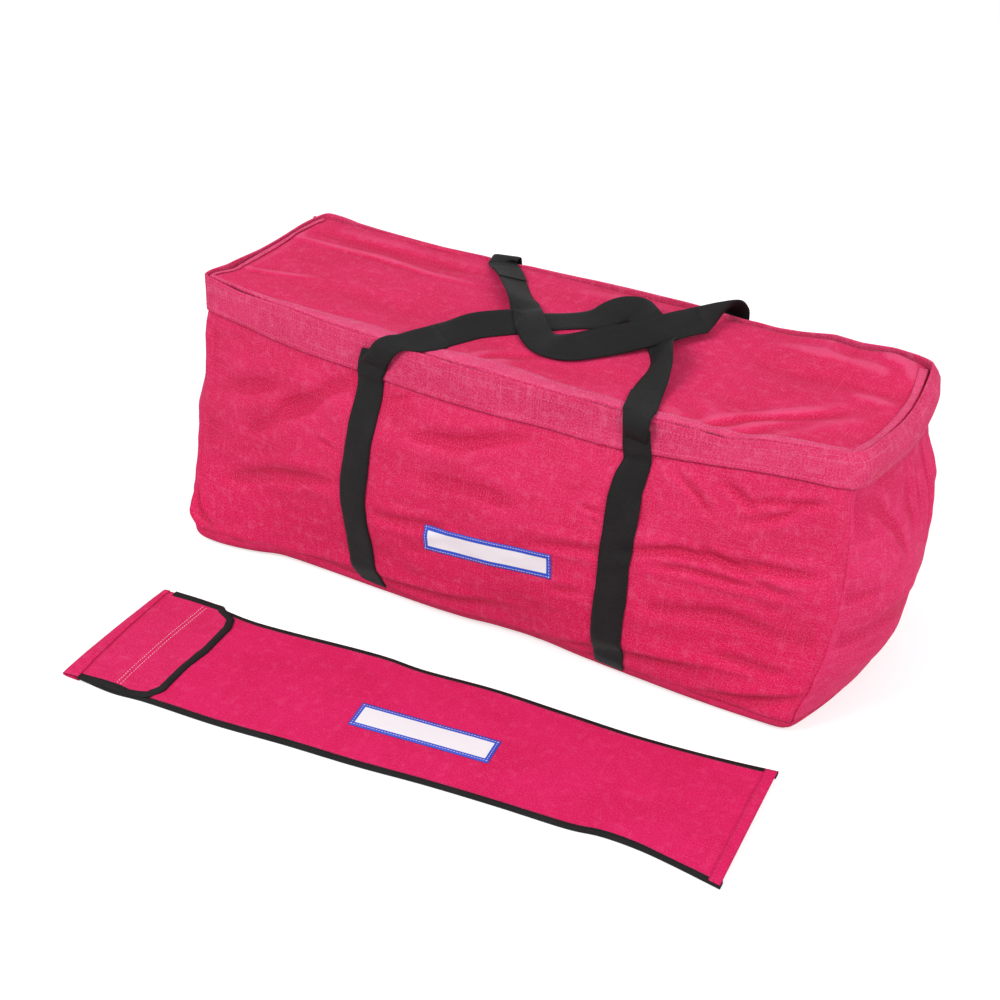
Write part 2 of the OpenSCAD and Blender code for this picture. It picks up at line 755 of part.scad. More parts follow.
base_panel();
front_wall();
right_end_wall();
rear_wall();
left_end_wall();
rim_band();
base_seam_binding();
corner_seam_bindings();
left_girth_strap();
right_girth_strap();
rear_strap_turns();
front_label();
body_zip_tape();
body_zip_coil();
zip_end_stops();
lid_panel();
lid_rear_roll();
lid_zip_guard();
lid_zip_tape();
lid_zip_coil();
front_slider();
front_pull_tab();
left_slider();
left_pull_tab();
front_handle();
front_handle_splice();
rear_handle();
rear_handle_splice();
pouch_back_panel();
pouch_front_panel();
pouch_front_binding();
pouch_rear_binding();
pouch_end_hem();
pouch_mouth_hem();
pouch_loop_strip();
pouch_label();
flap_fold();
flap_panel();
flap_binding();
flap_hook_strip();
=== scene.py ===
"""The looks of a canvas gear bag and its flat pouch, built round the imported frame.

The bag is a sewn box of heathered canvas with a doubled rim band, a zipped lid and two webbing
handles that run on into straps round its body. The pouch lies in front of it. Units are metres.
"""
import logging
import math
from dataclasses import dataclass
from enum import Enum, IntEnum

import bmesh
import bpy
import numpy as np
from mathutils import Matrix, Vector


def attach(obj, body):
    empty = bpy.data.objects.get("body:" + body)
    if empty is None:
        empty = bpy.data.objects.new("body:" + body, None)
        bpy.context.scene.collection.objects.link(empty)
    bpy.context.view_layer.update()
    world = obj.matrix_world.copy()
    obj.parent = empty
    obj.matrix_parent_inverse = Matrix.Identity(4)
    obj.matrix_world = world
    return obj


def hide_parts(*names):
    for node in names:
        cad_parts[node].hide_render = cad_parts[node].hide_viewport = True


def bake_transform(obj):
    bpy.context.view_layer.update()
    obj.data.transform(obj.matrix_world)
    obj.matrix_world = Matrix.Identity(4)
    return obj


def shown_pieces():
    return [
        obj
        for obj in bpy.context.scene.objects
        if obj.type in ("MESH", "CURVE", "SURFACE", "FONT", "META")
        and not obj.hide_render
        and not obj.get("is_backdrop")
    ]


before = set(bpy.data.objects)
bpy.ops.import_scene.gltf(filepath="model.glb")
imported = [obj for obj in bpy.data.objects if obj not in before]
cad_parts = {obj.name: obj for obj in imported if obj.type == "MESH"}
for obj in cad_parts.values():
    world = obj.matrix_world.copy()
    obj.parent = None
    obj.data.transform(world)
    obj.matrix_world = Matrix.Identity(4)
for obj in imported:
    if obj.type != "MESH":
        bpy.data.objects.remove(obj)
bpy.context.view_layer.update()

Array = np.ndarray
Point = tuple[float, float, float]
Rows = tuple[tuple[float, ...], ...]
Piece = bpy.types.Object
Material = bpy.types.Material
Node = bpy.types.Node
Socket = bpy.types.NodeSocket
log = logging.getLogger("gear_bag")
MM = 0.001


# ----- small helpers -----

def smooth(v: Array | float, low: float = 0.0, high: float = 1.0) -> Array:
    """A smooth step of v from 0 at low to 1 at high."""
    s = np.clip((np.asarray(v, float) - low)/(high - low), 0, 1)
    return s*s*(3 - 2*s)


def unit(v: Array) -> Array:
    """v with its last axis made one long."""
    return v/np.maximum(np.linalg.norm(v, axis=-1, keepdims=True), 1e-12)


def bell(distance: Array, width: float) -> Array:
    """A soft bump, 1 at no distance and about a third at one width."""
    return np.exp(-(distance/width)**2)


def profile(rows: Rows, at: Array) -> Array:
    """A profile given at some places; its rows hold a place in metres and a value in millimetres."""
    return np.interp(at, *zip(*rows))*MM


def stacked(*parts: Array) -> Array:
    """Arrays of matching shapes as the last axis of one."""
    return np.stack(np.broadcast_arrays(*parts), -1)


def closed(ring: Array) -> Array:
    """A grid with its first column again at its end."""
    return np.concatenate([ring, ring[:, :1]], 1)


def run_along(line: Array) -> Array:
    """Distance of each point of a line from its start, along the line."""
    return np.concatenate([[0], np.cumsum(np.linalg.norm(np.diff(line, axis=0), axis=1))])


def turned(centre: tuple[float, float], u: Array, v: Array, angle: float) -> tuple[Array, Array]:
    """Both coordinates of places (u, v) that are turned by an angle round a centre."""
    return (centre[0] + u*math.cos(angle) - v*math.sin(angle),
            centre[1] + u*math.sin(angle) + v*math.cos(angle))


def border(p: Array) -> tuple[Array, ...]:
    """The four lines just inside the edges of a grid of points."""
    return p[1, 1:-1], p[-2, 1:-1], p[1:-1, 1], p[1:-1, -2]


def value_noise(u: Array, v: Array, cell: tuple[float, float], seed: int) -> Array:
    """Smooth seeded noise over two coordinates.

    Args:
        u: First coordinate, in metres.
        v: Second coordinate, in metres.
        cell: Size of a noise cell along each coordinate.
        seed: Fixed seed of the random grid.

    Returns:
        Values from about -1 to 1.
    """
    grid = np.random.default_rng(seed).uniform(-1, 1, (64, 64))
    x, y = np.asarray(u)/cell[0] + 31.3, np.asarray(v)/cell[1] + 17.7
    i, j = np.floor(x).astype(int), np.floor(y).astype(int)
    a, b = smooth(x - i), smooth(y - j)
    low = grid[i % 64, j % 64]*(1 - a) + grid[(i + 1) % 64, j % 64]*a
    high = grid[i % 64, (j + 1) % 64]*(1 - a) + grid[(i + 1) % 64, (j + 1) % 64]*a
    return (low*(1 - b) + high*b)*1.4


def line_noise(at: Array, cell: float, seed: int) -> Array:
    """Smooth seeded noise along a line."""
    return value_noise(at, at*0, (cell, 1.0), seed)


def spline(points: list[tuple[float, ...]] | Array, spacing: float) -> Array:
    """A smooth line through chosen points, resampled evenly.

    Args:
        points: Points that the line passes through; extra columns, such as a tilt, go along.
        spacing: Distance between the samples.

    Returns:
        One row for each sample.
    """
    p = np.asarray(points, float)
    ends = np.vstack([2*p[0] - p[1], p, 2*p[-1] - p[-2]])
    v = np.linspace(0, 1, 24, endpoint=False)[:, None]
    runs = []
    for a, b, c, d in zip(ends, ends[1:], ends[2:], ends[3:]):
        runs.append(0.5*(2*b + (c - a)*v + (2*a - 5*b + 4*c - d)*v**2 + (3*b - a - 3*c + d)*v**3))
    line = np.vstack(runs + [p[-1:]])
    along = run_along(line[:, :3])
    count = max(int(round(along[-1]/spacing)), 2)
    at = np.linspace(0, along[-1], count + 1)
    return np.stack([np.interp(at, along, line[:, k]) for k in range(p.shape[1])], -1)


def blur_rows(values: Array, sigma: float, axis: int, wrap: bool = False) -> Array:
    """values smoothed along one axis by a Gaussian of sigma samples."""
    reach = max(int(3*sigma), 1)
    kernel = np.exp(-0.5*(np.arange(-reach, reach + 1)/max(sigma, 1e-6))**2)
    kernel /= kernel.sum()
    moved = np.moveaxis(values, axis, 0)
    pad = [(reach, reach)] + [(0, 0)]*(moved.ndim - 1)
    padded = np.pad(moved, pad, mode="wrap" if wrap else "edge")
    total = sum(k*padded[i:i + len(moved)] for i, k in enumerate(kernel))
    return np.moveaxis(total, 0, axis)


def blurred(values: Array, rows: float, cols: float, wrap: bool = False) -> Array:
    """A grid of values smoothed over its rows and then over its columns."""
    return blur_rows(blur_rows(values, rows, 0), cols, 1, wrap)


def grid_normals(p: Array, wrap: bool = False) -> Array:
    """Unit normals of a grid of points whose rows go up and whose columns go round anticlockwise."""
    if wrap:
        along = np.roll(p, -1, 1) - np.roll(p, 1, 1)
    else:
        along = np.gradient(p, axis=1)
    up = np.gradient(p, axis=0)
    return unit(np.cross(along, up))


# ----- shader nodes -----

class Shader:
    """A material or a node group that is being wired up."""

    def __init__(self, tree: bpy.types.NodeTree) -> None:
        """Starts on a node tree."""
        self.tree = tree

    def add(self, kind: str, inputs: dict | None = None, **settings) -> Node:
        """Adds a node.

        Args:
            kind: The node's type name.
            inputs: Value or socket for each input, by name or number.
            settings: Properties of the node.

        Returns:
            The node.
        """
        node = self.tree.nodes.new(kind)
        for key, value in settings.items():
            setattr(node, key, value)
        self.feed(node, inputs or {})
        return node

    def feed(self, node: Node, inputs: dict) -> None:
        """Gives a node's inputs, by name or number, a value or a socket each."""
        for key, value in inputs.items():
            self.set(node.inputs[key], value)

    def set(self, socket: Socket, value) -> None:
        """Links a socket to another one, or gives it a plain value."""
        if isinstance(value, Socket):
            self.tree.links.new(value, socket)
        else:
            socket.default_value = value

    def cloth(self) -> Socket:
        """The cloth coordinates."""
        return self.add("ShaderNodeUVMap", uv_map="cloth").outputs[0]

    def place(self) -> Socket:
        """The place in the shared frame."""
        return self.add("ShaderNodeTexCoord").outputs["Object"]

    def math(self, operation: str, a, b=0.0) -> Socket:
        """The result of a Math node."""
        return self.add("ShaderNodeMath", {0: a, 1: b}, operation=operation).outputs[0]

    def mix(self, factor, a, b) -> Socket:
        """A mix of two colours."""
        node = self.add("ShaderNodeMix", data_type="RGBA")
        self.feed(node, {0: factor, 6: a, 7: b})
        return node.outputs[2]

    def ramp(self, value, low: float, high: float) -> Socket:
        """A value spread from 0 at low to 1 at high."""
        node = self.add("ShaderNodeMapRange", {0: value, 1: low, 2: high}, interpolation_type="SMOOTHSTEP")
        return node.outputs[0]

    def share(self, value, low: float, high: float, amount: float) -> Socket:
        """A value spread from 0 at low to an amount at high."""
        return self.math("MULTIPLY", self.ramp(value, low, high), amount)

    def roughen(self, surface: Node, value, low: float, high: float) -> None:
        """Makes a surface's roughness go from low to high as a value goes from 0 to 1."""
        spread = self.add("ShaderNodeMapRange", {0: value, 3: low, 4: high})
        self.set(surface.inputs["Roughness"], spread.outputs[0])

    def emboss(self, surface: Node, height, strength: float, distance: float) -> None:
        """Gives a surface a bump."""
        bump = self.add("ShaderNodeBump", {"Strength": strength, "Distance": distance, "Height": height})
        self.set(surface.inputs["Normal"], bump.outputs[0])

    def noise(self, vector, scale: float, stretch: Point = (1, 1, 1), detail: float = 2.0,
              roughness: float = 0.5) -> Socket:
        """Noise from about 0 to 1 over a stretched vector."""
        moved = self.add("ShaderNodeMapping", {"Vector": vector, "Scale": stretch}).outputs[0]
        return self.add("ShaderNodeTexNoise", {
            "Vector": moved, "Scale": scale, "Detail": detail, "Roughness": roughness}).outputs[0]


def blank_nodes(block: Material | bpy.types.World) -> Shader:
    """Empties the nodes of a material or a world and starts to wire them."""
    block.use_nodes = True
    block.node_tree.nodes.clear()
    return Shader(block.node_tree)


def new_group(name: str, inputs: dict[str, str], outputs: dict[str, str],
              kind: str = "ShaderNodeTree") -> tuple[Shader, dict, dict]:
    """Starts a node group.

    Args:
        name: The group's name.
        inputs: Socket kind of each input by name.
        outputs: Socket kind of each output by name.
        kind: What kind of node tree it is.

    Returns:
        The group's wiring, its input sockets and its output sockets.
    """
    tree = bpy.data.node_groups.new(name, kind)
    for way, sockets in (("INPUT", inputs), ("OUTPUT", outputs)):
        for label, socket_type in sockets.items():
            tree.interface.new_socket(label, in_out=way, socket_type=socket_type)
    shader = Shader(tree)
    start = shader.add("NodeGroupInput")
    end = shader.add("NodeGroupOutput")
    return shader, {k: start.outputs[k] for k in inputs}, {k: end.inputs[k] for k in outputs}


def weave_group() -> bpy.types.NodeTree:
    """The heathered weave that all the canvas shares: slub threads both ways, grain and a faint grid."""
    name = "heathered_weave"
    if name in bpy.data.node_groups:
        return bpy.data.node_groups[name]
    g, start, end = new_group(
        name, {"Cloth": "NodeSocketVector"},
        dict.fromkeys(("Slubs", "Grain", "Patches", "Height"), "NodeSocketFloat"))
    cloth = start["Cloth"]
    level = g.ramp(g.noise(cloth, 1.0, (60, 1000, 1), 1.0), 0.60, 0.76)
    upright = g.ramp(g.noise(cloth, 1.0, (900, 42, 1), 1.0), 0.60, 0.76)
    grain = g.noise(cloth, 560.0, (1, 1, 1), 2.5, 0.75)
    grid_u = g.ramp(g.noise(cloth, 1.0, (560, 12, 1), 0.0), 0.66, 0.78)
    grid_v = g.ramp(g.noise(cloth, 1.0, (12, 560, 1), 0.0), 0.66, 0.78)
    slubs = g.math("MAXIMUM", g.math("MULTIPLY", level, 0.7), upright)
    grid = g.math("MULTIPLY", g.math("MAXIMUM", grid_u, grid_v), 0.6)
    g.set(end["Slubs"], g.math("MAXIMUM", slubs, grid))
    g.set(end["Grain"], grain)
    g.set(end["Patches"], g.noise(cloth, 11.0, (1, 1.4, 1), 3.0, 0.6))
    warp, weft = (g.add("ShaderNodeTexWave", {"Vector": cloth, "Scale": 260.0}, wave_type="BANDS",
                        bands_direction=axis).outputs[1] for axis in "XY")
    woven = g.math("MULTIPLY", g.math("ADD", warp, weft), 0.25)
    g.set(end["Height"], g.math("ADD", woven, g.math("ADD", g.math("MULTIPLY", slubs, 0.55),
                                                       g.math("MULTIPLY", grain, 0.35))))
    return g.tree


def rib_group() -> bpy.types.NodeTree:
    """Cross ribs and fine herringbone of woven tape; V runs along the tape."""
    name = "tape_ribs"
    if name in bpy.data.node_groups:
        return bpy.data.node_groups[name]
    g, start, end = new_group(
        name, {"Cloth": "NodeSocketVector", "Pitch": "NodeSocketFloat"},
        dict.fromkeys(("Ribs", "Fuzz", "Height"), "NodeSocketFloat"))
    split = g.add("ShaderNodeSeparateXYZ", {0: start["Cloth"]})
    turns = g.math("DIVIDE", split.outputs[1], start["Pitch"])
    ribs = g.math("ABSOLUTE", g.math("SINE", g.math("MULTIPLY", turns, math.pi)))
    twill = g.math("SINE", g.math("MULTIPLY", g.math(
        "ADD", g.math("MULTIPLY", split.outputs[0], 0.6), split.outputs[1]), 2600.0))
    fuzz = g.noise(start["Cloth"], 420.0, (1, 0.35, 1), 3.0, 0.65)
    g.set(end["Ribs"], ribs)
    g.set(end["Fuzz"], fuzz)
    g.set(end["Height"], g.math("ADD", ribs, g.math("ADD", g.math("MULTIPLY", twill, 0.12),
                                                     g.math("MULTIPLY", fuzz, 0.5))))
    return g.tree


@dataclass(frozen=True)
class Finish:
    """Base of every finish: makes its material once and hands it out."""
    label: str

    def material(self) -> Material:
        """The finish's material."""
        name = f"{self.label}_finish"
        if name in bpy.data.materials:
            return bpy.data.materials[name]
        made = bpy.data.materials.new(name)
        shader = blank_nodes(made)
        surface = shader.add("ShaderNodeBsdfPrincipled")
        self.wire(shader, surface)
        shader.add("ShaderNodeOutputMaterial", {0: surface.outputs[0]})
        return made

    def wire(self, shader: Shader, surface: Node) -> None:
        """Sets and links the Principled BSDF's sockets."""
        raise NotImplementedError


def linear(red: int, green: int, blue: int) -> tuple[float, float, float, float]:
    """A linear colour from its usual 0 to 255 values."""
    def one(c: float) -> float:
        """One channel."""
        c /= 255
        return c/12.92 if c <= 0.04045 else ((c + 0.055)/1.055)**2.4
    return one(red), one(green), one(blue), 1.0


@dataclass(frozen=True)
class Canvas(Finish):
    """Heathered polyester canvas in one of its dye lots."""
    dye: tuple[int, int, int]
    thread: tuple[int, int, int]
    slub: float = 0.16
    bump: float = 0.30
    wear_and_fold_shade: float = 0.0
    # low: how much painted shade darkens and saturates the canvas towards the bottom.
    low: float = 0.0

    def wire(self, shader: Shader, surface: Node) -> None:
        """Colour from slubs, grain and broad patches; painted shade makes it darker and more saturated low
        down and darker in creases and grooves, and a painted highlight lightens crests; a fine bump from the
        weave.
        """
        cloth = shader.cloth()
        weave = shader.add("ShaderNodeGroup", node_tree=weave_group())
        shader.set(weave.inputs["Cloth"], cloth)
        dye, thread = linear(*self.dye), linear(*self.thread)
        # deep is the darker tone of random patches, and also the painted shade in creases.
        deep = (dye[0]*0.84, dye[1]*0.30, dye[2]*0.62, 1.0)
        patches_and_low_shade = shader.mix(shader.share(weave.outputs["Patches"], 0.38, 0.66, 0.50), dye, deep)
        # Painted shade low down: the colour grows darker and more saturated towards the bottom of the wall,
        # by height.
        if self.low:
            height = shader.add("ShaderNodeSeparateXYZ", {0: shader.place()}).outputs[2]
            low_shade = (dye[0]*0.98, dye[1]*0.14, dye[2]*0.80, 1.0)
            share = shader.math("SUBTRACT", 1.0, shader.ramp(height, 0.04, 0.25))
            patches_and_low_shade = shader.mix(shader.math("MULTIPLY", share, self.low), patches_and_low_shade, low_shade)
        mottle = shader.share(shader.noise(cloth, 75.0, (1, 1, 1), 3.0, 0.7), 0.48, 0.72, 0.22)
        patches_and_low_shade = shader.mix(mottle, patches_and_low_shade, thread)
        # Painted shade in creases and a painted highlight on crests, from the crease attribute.
        depth = shader.add("ShaderNodeAttribute", attribute_name="crease").outputs["Fac"]
        fold_shading = shader.mix(shader.ramp(depth, 0.04, 0.9), patches_and_low_shade, deep)
        crest = shader.math("MULTIPLY", depth, -1.0)
        fold_light_and_shade = shader.mix(shader.share(crest, 0.05, 1.0, 0.36), fold_shading, thread)
        # Painted shadow: crease values above 1 darken to this colour in seam grooves, under the rim band and
        # at the zip strip's outer edge.
        groove_shadow_colour = (dye[0]*0.42, dye[1]*0.25, dye[2]*0.34, 1.0)
        fold_light_and_shade = shader.mix(shader.ramp(depth, 1.05, 2.0), fold_light_and_shade, groove_shadow_colour)
        grained = shader.mix(shader.share(weave.outputs["Grain"], 0.42, 0.70, 0.40), fold_light_and_shade, thread)
        slubbed = shader.mix(shader.math("MULTIPLY", weave.outputs["Slubs"], self.slub), grained, thread)
        if self.wear_and_fold_shade:
            scuffs = shader.ramp(shader.noise(cloth, 1.0, (9, 120, 1), 4.0, 0.7), 0.66, 0.80)
            slubbed = shader.mix(shader.math("MULTIPLY", scuffs, self.wear_and_fold_shade), slubbed, thread)
        shader.feed(surface, {
            "Base Color": slubbed, "Specular IOR Level": 0.12, "Sheen Weight": 0.05,
            "Sheen Roughness": 0.40, "Sheen Tint": (1.0, 0.72, 0.80, 1.0)})
        shader.roughen(surface, weave.outputs["Grain"], 0.78, 0.92)
        shader.emboss(surface, weave.outputs["Height"], self.bump, 0.0005)


@dataclass(frozen=True)
class Webbing(Finish):
    """Black woven tape with cross ribs."""
    shade: tuple[int, int, int] = (12, 11, 12)
    light: tuple[int, int, int] = (30, 28, 29)
    pitch: float = 0.0025
    bump: float = 0.5
    gloss: float = 0.62

    def wire(self, shader: Shader, surface: Node) -> None:
        """Near black, with a painted highlight on the ribs, and lighter where the nylon is fuzzed."""
        cloth = shader.cloth()
        ribs = shader.add("ShaderNodeGroup", node_tree=rib_group())
        shader.feed(ribs, {"Cloth": cloth, "Pitch": self.pitch})
        # Painted highlight on the rib tops.
        lit = shader.share(ribs.outputs["Ribs"], 0.3, 1.0, 0.35)
        haze = shader.share(shader.noise(cloth, 26.0, (1, 0.6, 1), 3.0), 0.42, 0.72, 0.45)
        colour = shader.mix(shader.math("ADD", lit, haze), linear(*self.shade), linear(*self.light))
        shader.feed(surface, {"Base Color": colour, "Specular IOR Level": 0.20})
        shader.roughen(surface, ribs.outputs["Fuzz"], self.gloss - 0.08, self.gloss + 0.12)
        shader.emboss(surface, ribs.outputs["Height"], self.bump, 0.0006)


@dataclass(frozen=True)
class Trim(Finish):
    """Small trim read from Object coordinates: zip coils, hook tape, enamelled metal."""
    shade: tuple[int, int, int]
    light: tuple[int, int, int]
    grain: float = 900.0
    rough: float = 0.6
    metal: float = 0.0
    bump: float = 0.4

    def wire(self, shader: Shader, surface: Node) -> None:
        """Speckled colour and a matching bump."""
        place = shader.place()
        speck = shader.noise(place, self.grain, (1, 1, 1), 3.0, 0.6)
        wear = shader.noise(place, self.grain/12, (1, 1, 1), 2.0)
        colour = shader.mix(shader.ramp(speck, 0.4, 0.75), linear(*self.shade), linear(*self.light))
        shader.feed(surface, {"Base Color": colour, "Metallic": self.metal})
        shader.roughen(surface, wear, self.rough - 0.12, self.rough + 0.12)
        shader.emboss(surface, speck, self.bump, 0.0003)


@dataclass(frozen=True)
class PlainLabel(Finish):
    """A printed patch: a white field inside a blue border, with no lettering."""
    size: tuple[float, float]
    border: float = 0.006

    def wire(self, shader: Shader, surface: Node) -> None:
        """Blue near the edges of the cloth coordinates and white inside."""
        cloth = shader.cloth()
        split = shader.add("ShaderNodeSeparateXYZ", {0: cloth})
        inside = None
        for axis, length in enumerate(self.size):
            off = shader.math("ABSOLUTE", split.outputs[axis])
            share = shader.ramp(off, length/2 - self.border + 0.0004, length/2 - self.border - 0.0004)
            inside = share if inside is None else shader.math("MULTIPLY", inside, share)
        print_grain = shader.noise(cloth, 900.0, (1, 1, 1), 2.0, 0.6)
        fade = shader.share(print_grain, 0.45, 0.8, 0.18)
        white = shader.mix(fade, linear(236, 236, 240), linear(205, 208, 220))
        blue = shader.mix(fade, linear(24, 73, 196), linear(60, 104, 206))
        shader.feed(surface, {"Base Color": shader.mix(inside, blue, white), "Roughness": 0.55})
        shader.emboss(surface, print_grain, 0.3, 0.0003)


@dataclass(frozen=True)
class Thread(Finish):
    """Sewing thread."""
    shade: tuple[int, int, int]
    light: tuple[int, int, int]

    def wire(self, shader: Shader, surface: Node) -> None:
        """A twist of two near colours."""
        place = shader.place()
        ply = shader.noise(place, 1500.0, (1, 1, 1), 1.0)
        colour = shader.mix(ply, linear(*self.shade), linear(*self.light))
        shader.feed(surface, {"Base Color": colour, "Roughness": 0.7})


WALL_CANVAS = Canvas("wall_canvas", (216, 30, 88), (236, 110, 150), slub=0.22, low=1.0)
END_CANVAS = Canvas("end_canvas", (221, 38, 98), (238, 112, 152), slub=0.18)
LID_CANVAS = Canvas("lid_canvas", (214, 26, 85), (236, 104, 146), slub=0.18)
BAND_CANVAS = Canvas("band_canvas", (214, 40, 96), (240, 134, 168), slub=0.26, wear_and_fold_shade=0.35)
BASE_CANVAS = Canvas("base_canvas", (211, 30, 85), (232, 92, 138))
POUCH_CANVAS = Canvas("pouch_canvas", (212, 20, 90), (232, 80, 132), slub=0.14, wear_and_fold_shade=0.4)
LINING = Canvas("lining", (176, 34, 78), (205, 80, 118), slub=0.10, bump=0.2)
STRAP_WEB = Webbing("strap_webbing")
GUARD_CANVAS = Canvas("guard_canvas", (219, 62, 112), (240, 140, 172), slub=0.18)
FLAP_CANVAS = Canvas("flap_canvas", (212, 28, 92), (234, 88, 140), slub=0.18, wear_and_fold_shade=0.5)
SPLICE_WEB = Webbing("splice_webbing", shade=(10, 10, 11), light=(44, 43, 45), bump=1.0)
HANDLE_WEB = Webbing("handle_webbing", shade=(10, 9, 10), light=(26, 25, 26))
EDGE_TAPE = Webbing("edge_tape", shade=(14, 13, 15), light=(32, 31, 33), pitch=0.0013, bump=0.4, gloss=0.7)
ZIP_TAPE = Trim("zip_tape_weave", (24, 23, 24), (44, 42, 43), grain=1200.0, rough=0.8)
ZIP_COIL = Trim("zip_coil_nylon", (18, 18, 19), (36, 35, 37), grain=600.0, rough=0.42)
ENAMEL = Trim("slider_enamel", (38, 38, 40), (58, 58, 61), grain=500.0, rough=0.34, metal=0.85, bump=0.15)
HOOK_TAPE = Trim("hook_and_loop", (20, 20, 21), (50, 49, 50), grain=1400.0, rough=0.9, bump=0.8)
PINK_THREAD = Thread("pink_thread", (226, 70, 120), (238, 130, 165))
BLACK_THREAD = Thread("black_thread", (26, 26, 27), (60, 59, 61))
WHITE_THREAD = Thread("white_thread", (226, 196, 208), (240, 228, 234))
SHADE_THREAD = Thread("shade_thread", (170, 34, 78), (214, 84, 122))


# ----- meshes -----

class Slot(Enum):
    """Material slots of the record."""
    CANVAS = "canvas"
    BAND = "band_canvas"
    POUCH = "pouch_canvas"
    WEBBING = "webbing"
    BINDING = "binding"
    ZIP_TAPE = "zip_tape"
    ZIP_COIL = "zip_coil"
    METAL = "slider_metal"
    LABEL = "label"
    HOOK = "hook_tape"


def placed(name: str, data: bpy.types.ID) -> Piece:
    """A new object of the scene for a mesh, a lamp or a camera."""
    made = bpy.data.objects.new(name, data)
    bpy.context.scene.collection.objects.link(made)
    return made


def riding(piece: Piece, body: str, slot: Slot) -> Piece:
    """Rides a piece on a body."""
    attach(piece, body)
    return piece


def make_object(name: str, verts: Array, faces: list, uv: Array | None, materials: list[Material],
                outward: bool = False, crease: Array | None = None, weld: bool = False) -> Piece:
    """Makes a smooth mesh object at the origin.

    Args:
        name: The piece's name.
        verts: Its points, in metres.
        faces: Vertex numbers of each face.
        uv: A pair for each corner of each face, in metres of cloth, or None.
        materials: Its material slots in order.
        outward: Whether to turn the faces of a closed mesh outwards.
        crease: How deep each point lies in a fold, from -1 on a crest to 1 in a crease; the canvas paints a
            highlight on crests and shade in creases by it, and a shadow line where it goes above 1.
        weld: Whether to merge points that coincide, where a ring of cloth closes on itself.

    Returns:
        The linked object.
    """
    mesh = bpy.data.meshes.new(name)
    mesh.from_pydata(np.asarray(verts, float).tolist(), [], faces)
    if uv is not None:
        layer = mesh.uv_layers.new(name="cloth")
        layer.data.foreach_set("uv", np.asarray(uv, np.float32).ravel())
    # The crease attribute carries painted shade for creases and grooves and a painted highlight for crests.
    if crease is not None:
        wear_and_fold_shade = mesh.attributes.new("crease", "FLOAT", "POINT")
        wear_and_fold_shade.data.foreach_set("value", np.asarray(crease, np.float32).ravel())
    if outward or weld:
        whole = bmesh.new()
        whole.from_mesh(mesh)
        if weld:
            bmesh.ops.remove_doubles(whole, verts=whole.verts, dist=2e-6)
        if outward:
            bmesh.ops.recalc_face_normals(whole, faces=whole.faces)
        whole.to_mesh(mesh)
        whole.free()
    mesh.shade_smooth()
    for material in materials:
        mesh.materials.append(material)
    mesh.validate()
    return placed(name, mesh)


def grid_faces(rows: int, cols: int) -> Array:
    """Quads of a grid whose points are numbered row by row."""
    a = (np.arange(rows - 1)[:, None]*cols + np.arange(cols - 1)[None, :]).ravel()
    return stacked(a, a + 1, a + cols + 1, a + cols)


def sheet_object(name: str, p: Array, uv: Array, finishes: list[Finish],
                 thickness: float = 0.0, crease: Array | None = None) -> Piece:
    """An open grid of points as one piece of cloth.

    Args:
        name: The piece's name.
        p: Points, rows by columns by 3.
        uv: Cloth coordinates, rows by columns by 2.
        finishes: The outer finish, and then the inner one if there is one.
        thickness: Thickness of the cloth, added on its inner side.
        crease: Depth in the folds of each point, rows by columns, which drives painted shade and highlight.

    Returns:
        The object, with its thickness in its mesh.
    """
    rows, cols = p.shape[:2]
    materials = [finish.material() for finish in finishes]
    folds = np.zeros((rows, cols)) if crease is None else crease
    faces = grid_faces(rows, cols)
    outer = p.reshape(-1, 3)
    flat = uv.reshape(-1, 2)
    ring = bool(np.allclose(p[:, 0], p[:, -1], atol=1e-7))
    if thickness <= 0:
        return make_object(name, outer, faces.tolist(), flat[faces.ravel()], materials,
                           crease=folds, weld=ring)
    n = len(outer)
    low = np.arange(cols - 1)
    high = (rows - 1)*cols + np.arange(cols - 1, 0, -1)
    if ring:
        normal = closed(grid_normals(p[:, :-1], wrap=True))
        edge = np.concatenate([low, high])
        after = np.concatenate([low + 1, high - 1])
    else:
        normal = grid_normals(p)
        edge = np.concatenate([low, np.arange(rows - 1)*cols + cols - 1,
                               high, np.arange(rows - 1, 0, -1)*cols])
        after = np.roll(edge, -1)
    inner = (p - normal*thickness).reshape(-1, 3)
    rim = stacked(after, edge, edge + n, after + n)
    every = np.concatenate([faces, faces[:, ::-1] + n, rim])
    both = np.concatenate([flat, flat])
    piece = make_object(name, np.concatenate([outer, inner]), every.tolist(), both[every.ravel()], materials,
                        crease=np.concatenate([folds.ravel(), folds.ravel()]), weld=ring)
    if len(materials) > 1 and not ring:
        side = np.zeros(len(every), np.int32)
        side[len(faces):2*len(faces)] = 1
        piece.data.polygons.foreach_set("material_index", side)
    return piece


def swept_object(name: str, rings: Array, across: Array, along: Array, finish: Finish) -> Piece:
    """A closed tube of any section.

    Args:
        name: The piece's name.
        rings: Points, stations by section points by 3, each ring anticlockwise seen from its end.
        across: Cloth coordinate round the section, one more than its points.
        along: Cloth coordinate of each station.
        finish: Its looks.

    Returns:
        The object, closed at both ends.
    """
    n, k = rings.shape[:2]
    i = np.repeat(np.arange(n - 1), k)
    j = np.tile(np.arange(k), n - 1)
    after = (j + 1) % k
    quads = stacked(i*k + j, i*k + after, (i + 1)*k + after, (i + 1)*k + j)
    u = np.stack([across[j], across[j + 1], across[j + 1], across[j]], -1)
    v = np.stack([along[i], along[i], along[i + 1], along[i + 1]], -1)
    faces = quads.tolist() + [list(range(k - 1, -1, -1)), [(n - 1)*k + m for m in range(k)]]
    ends = np.stack([np.tile(across[:k], 2), np.repeat([along[0], along[-1]], k)], -1)
    uv = np.concatenate([stacked(u, v).reshape(-1, 2), ends])
    return make_object(name, rings.reshape(-1, 3), faces, uv, [finish.material()], outward=True)


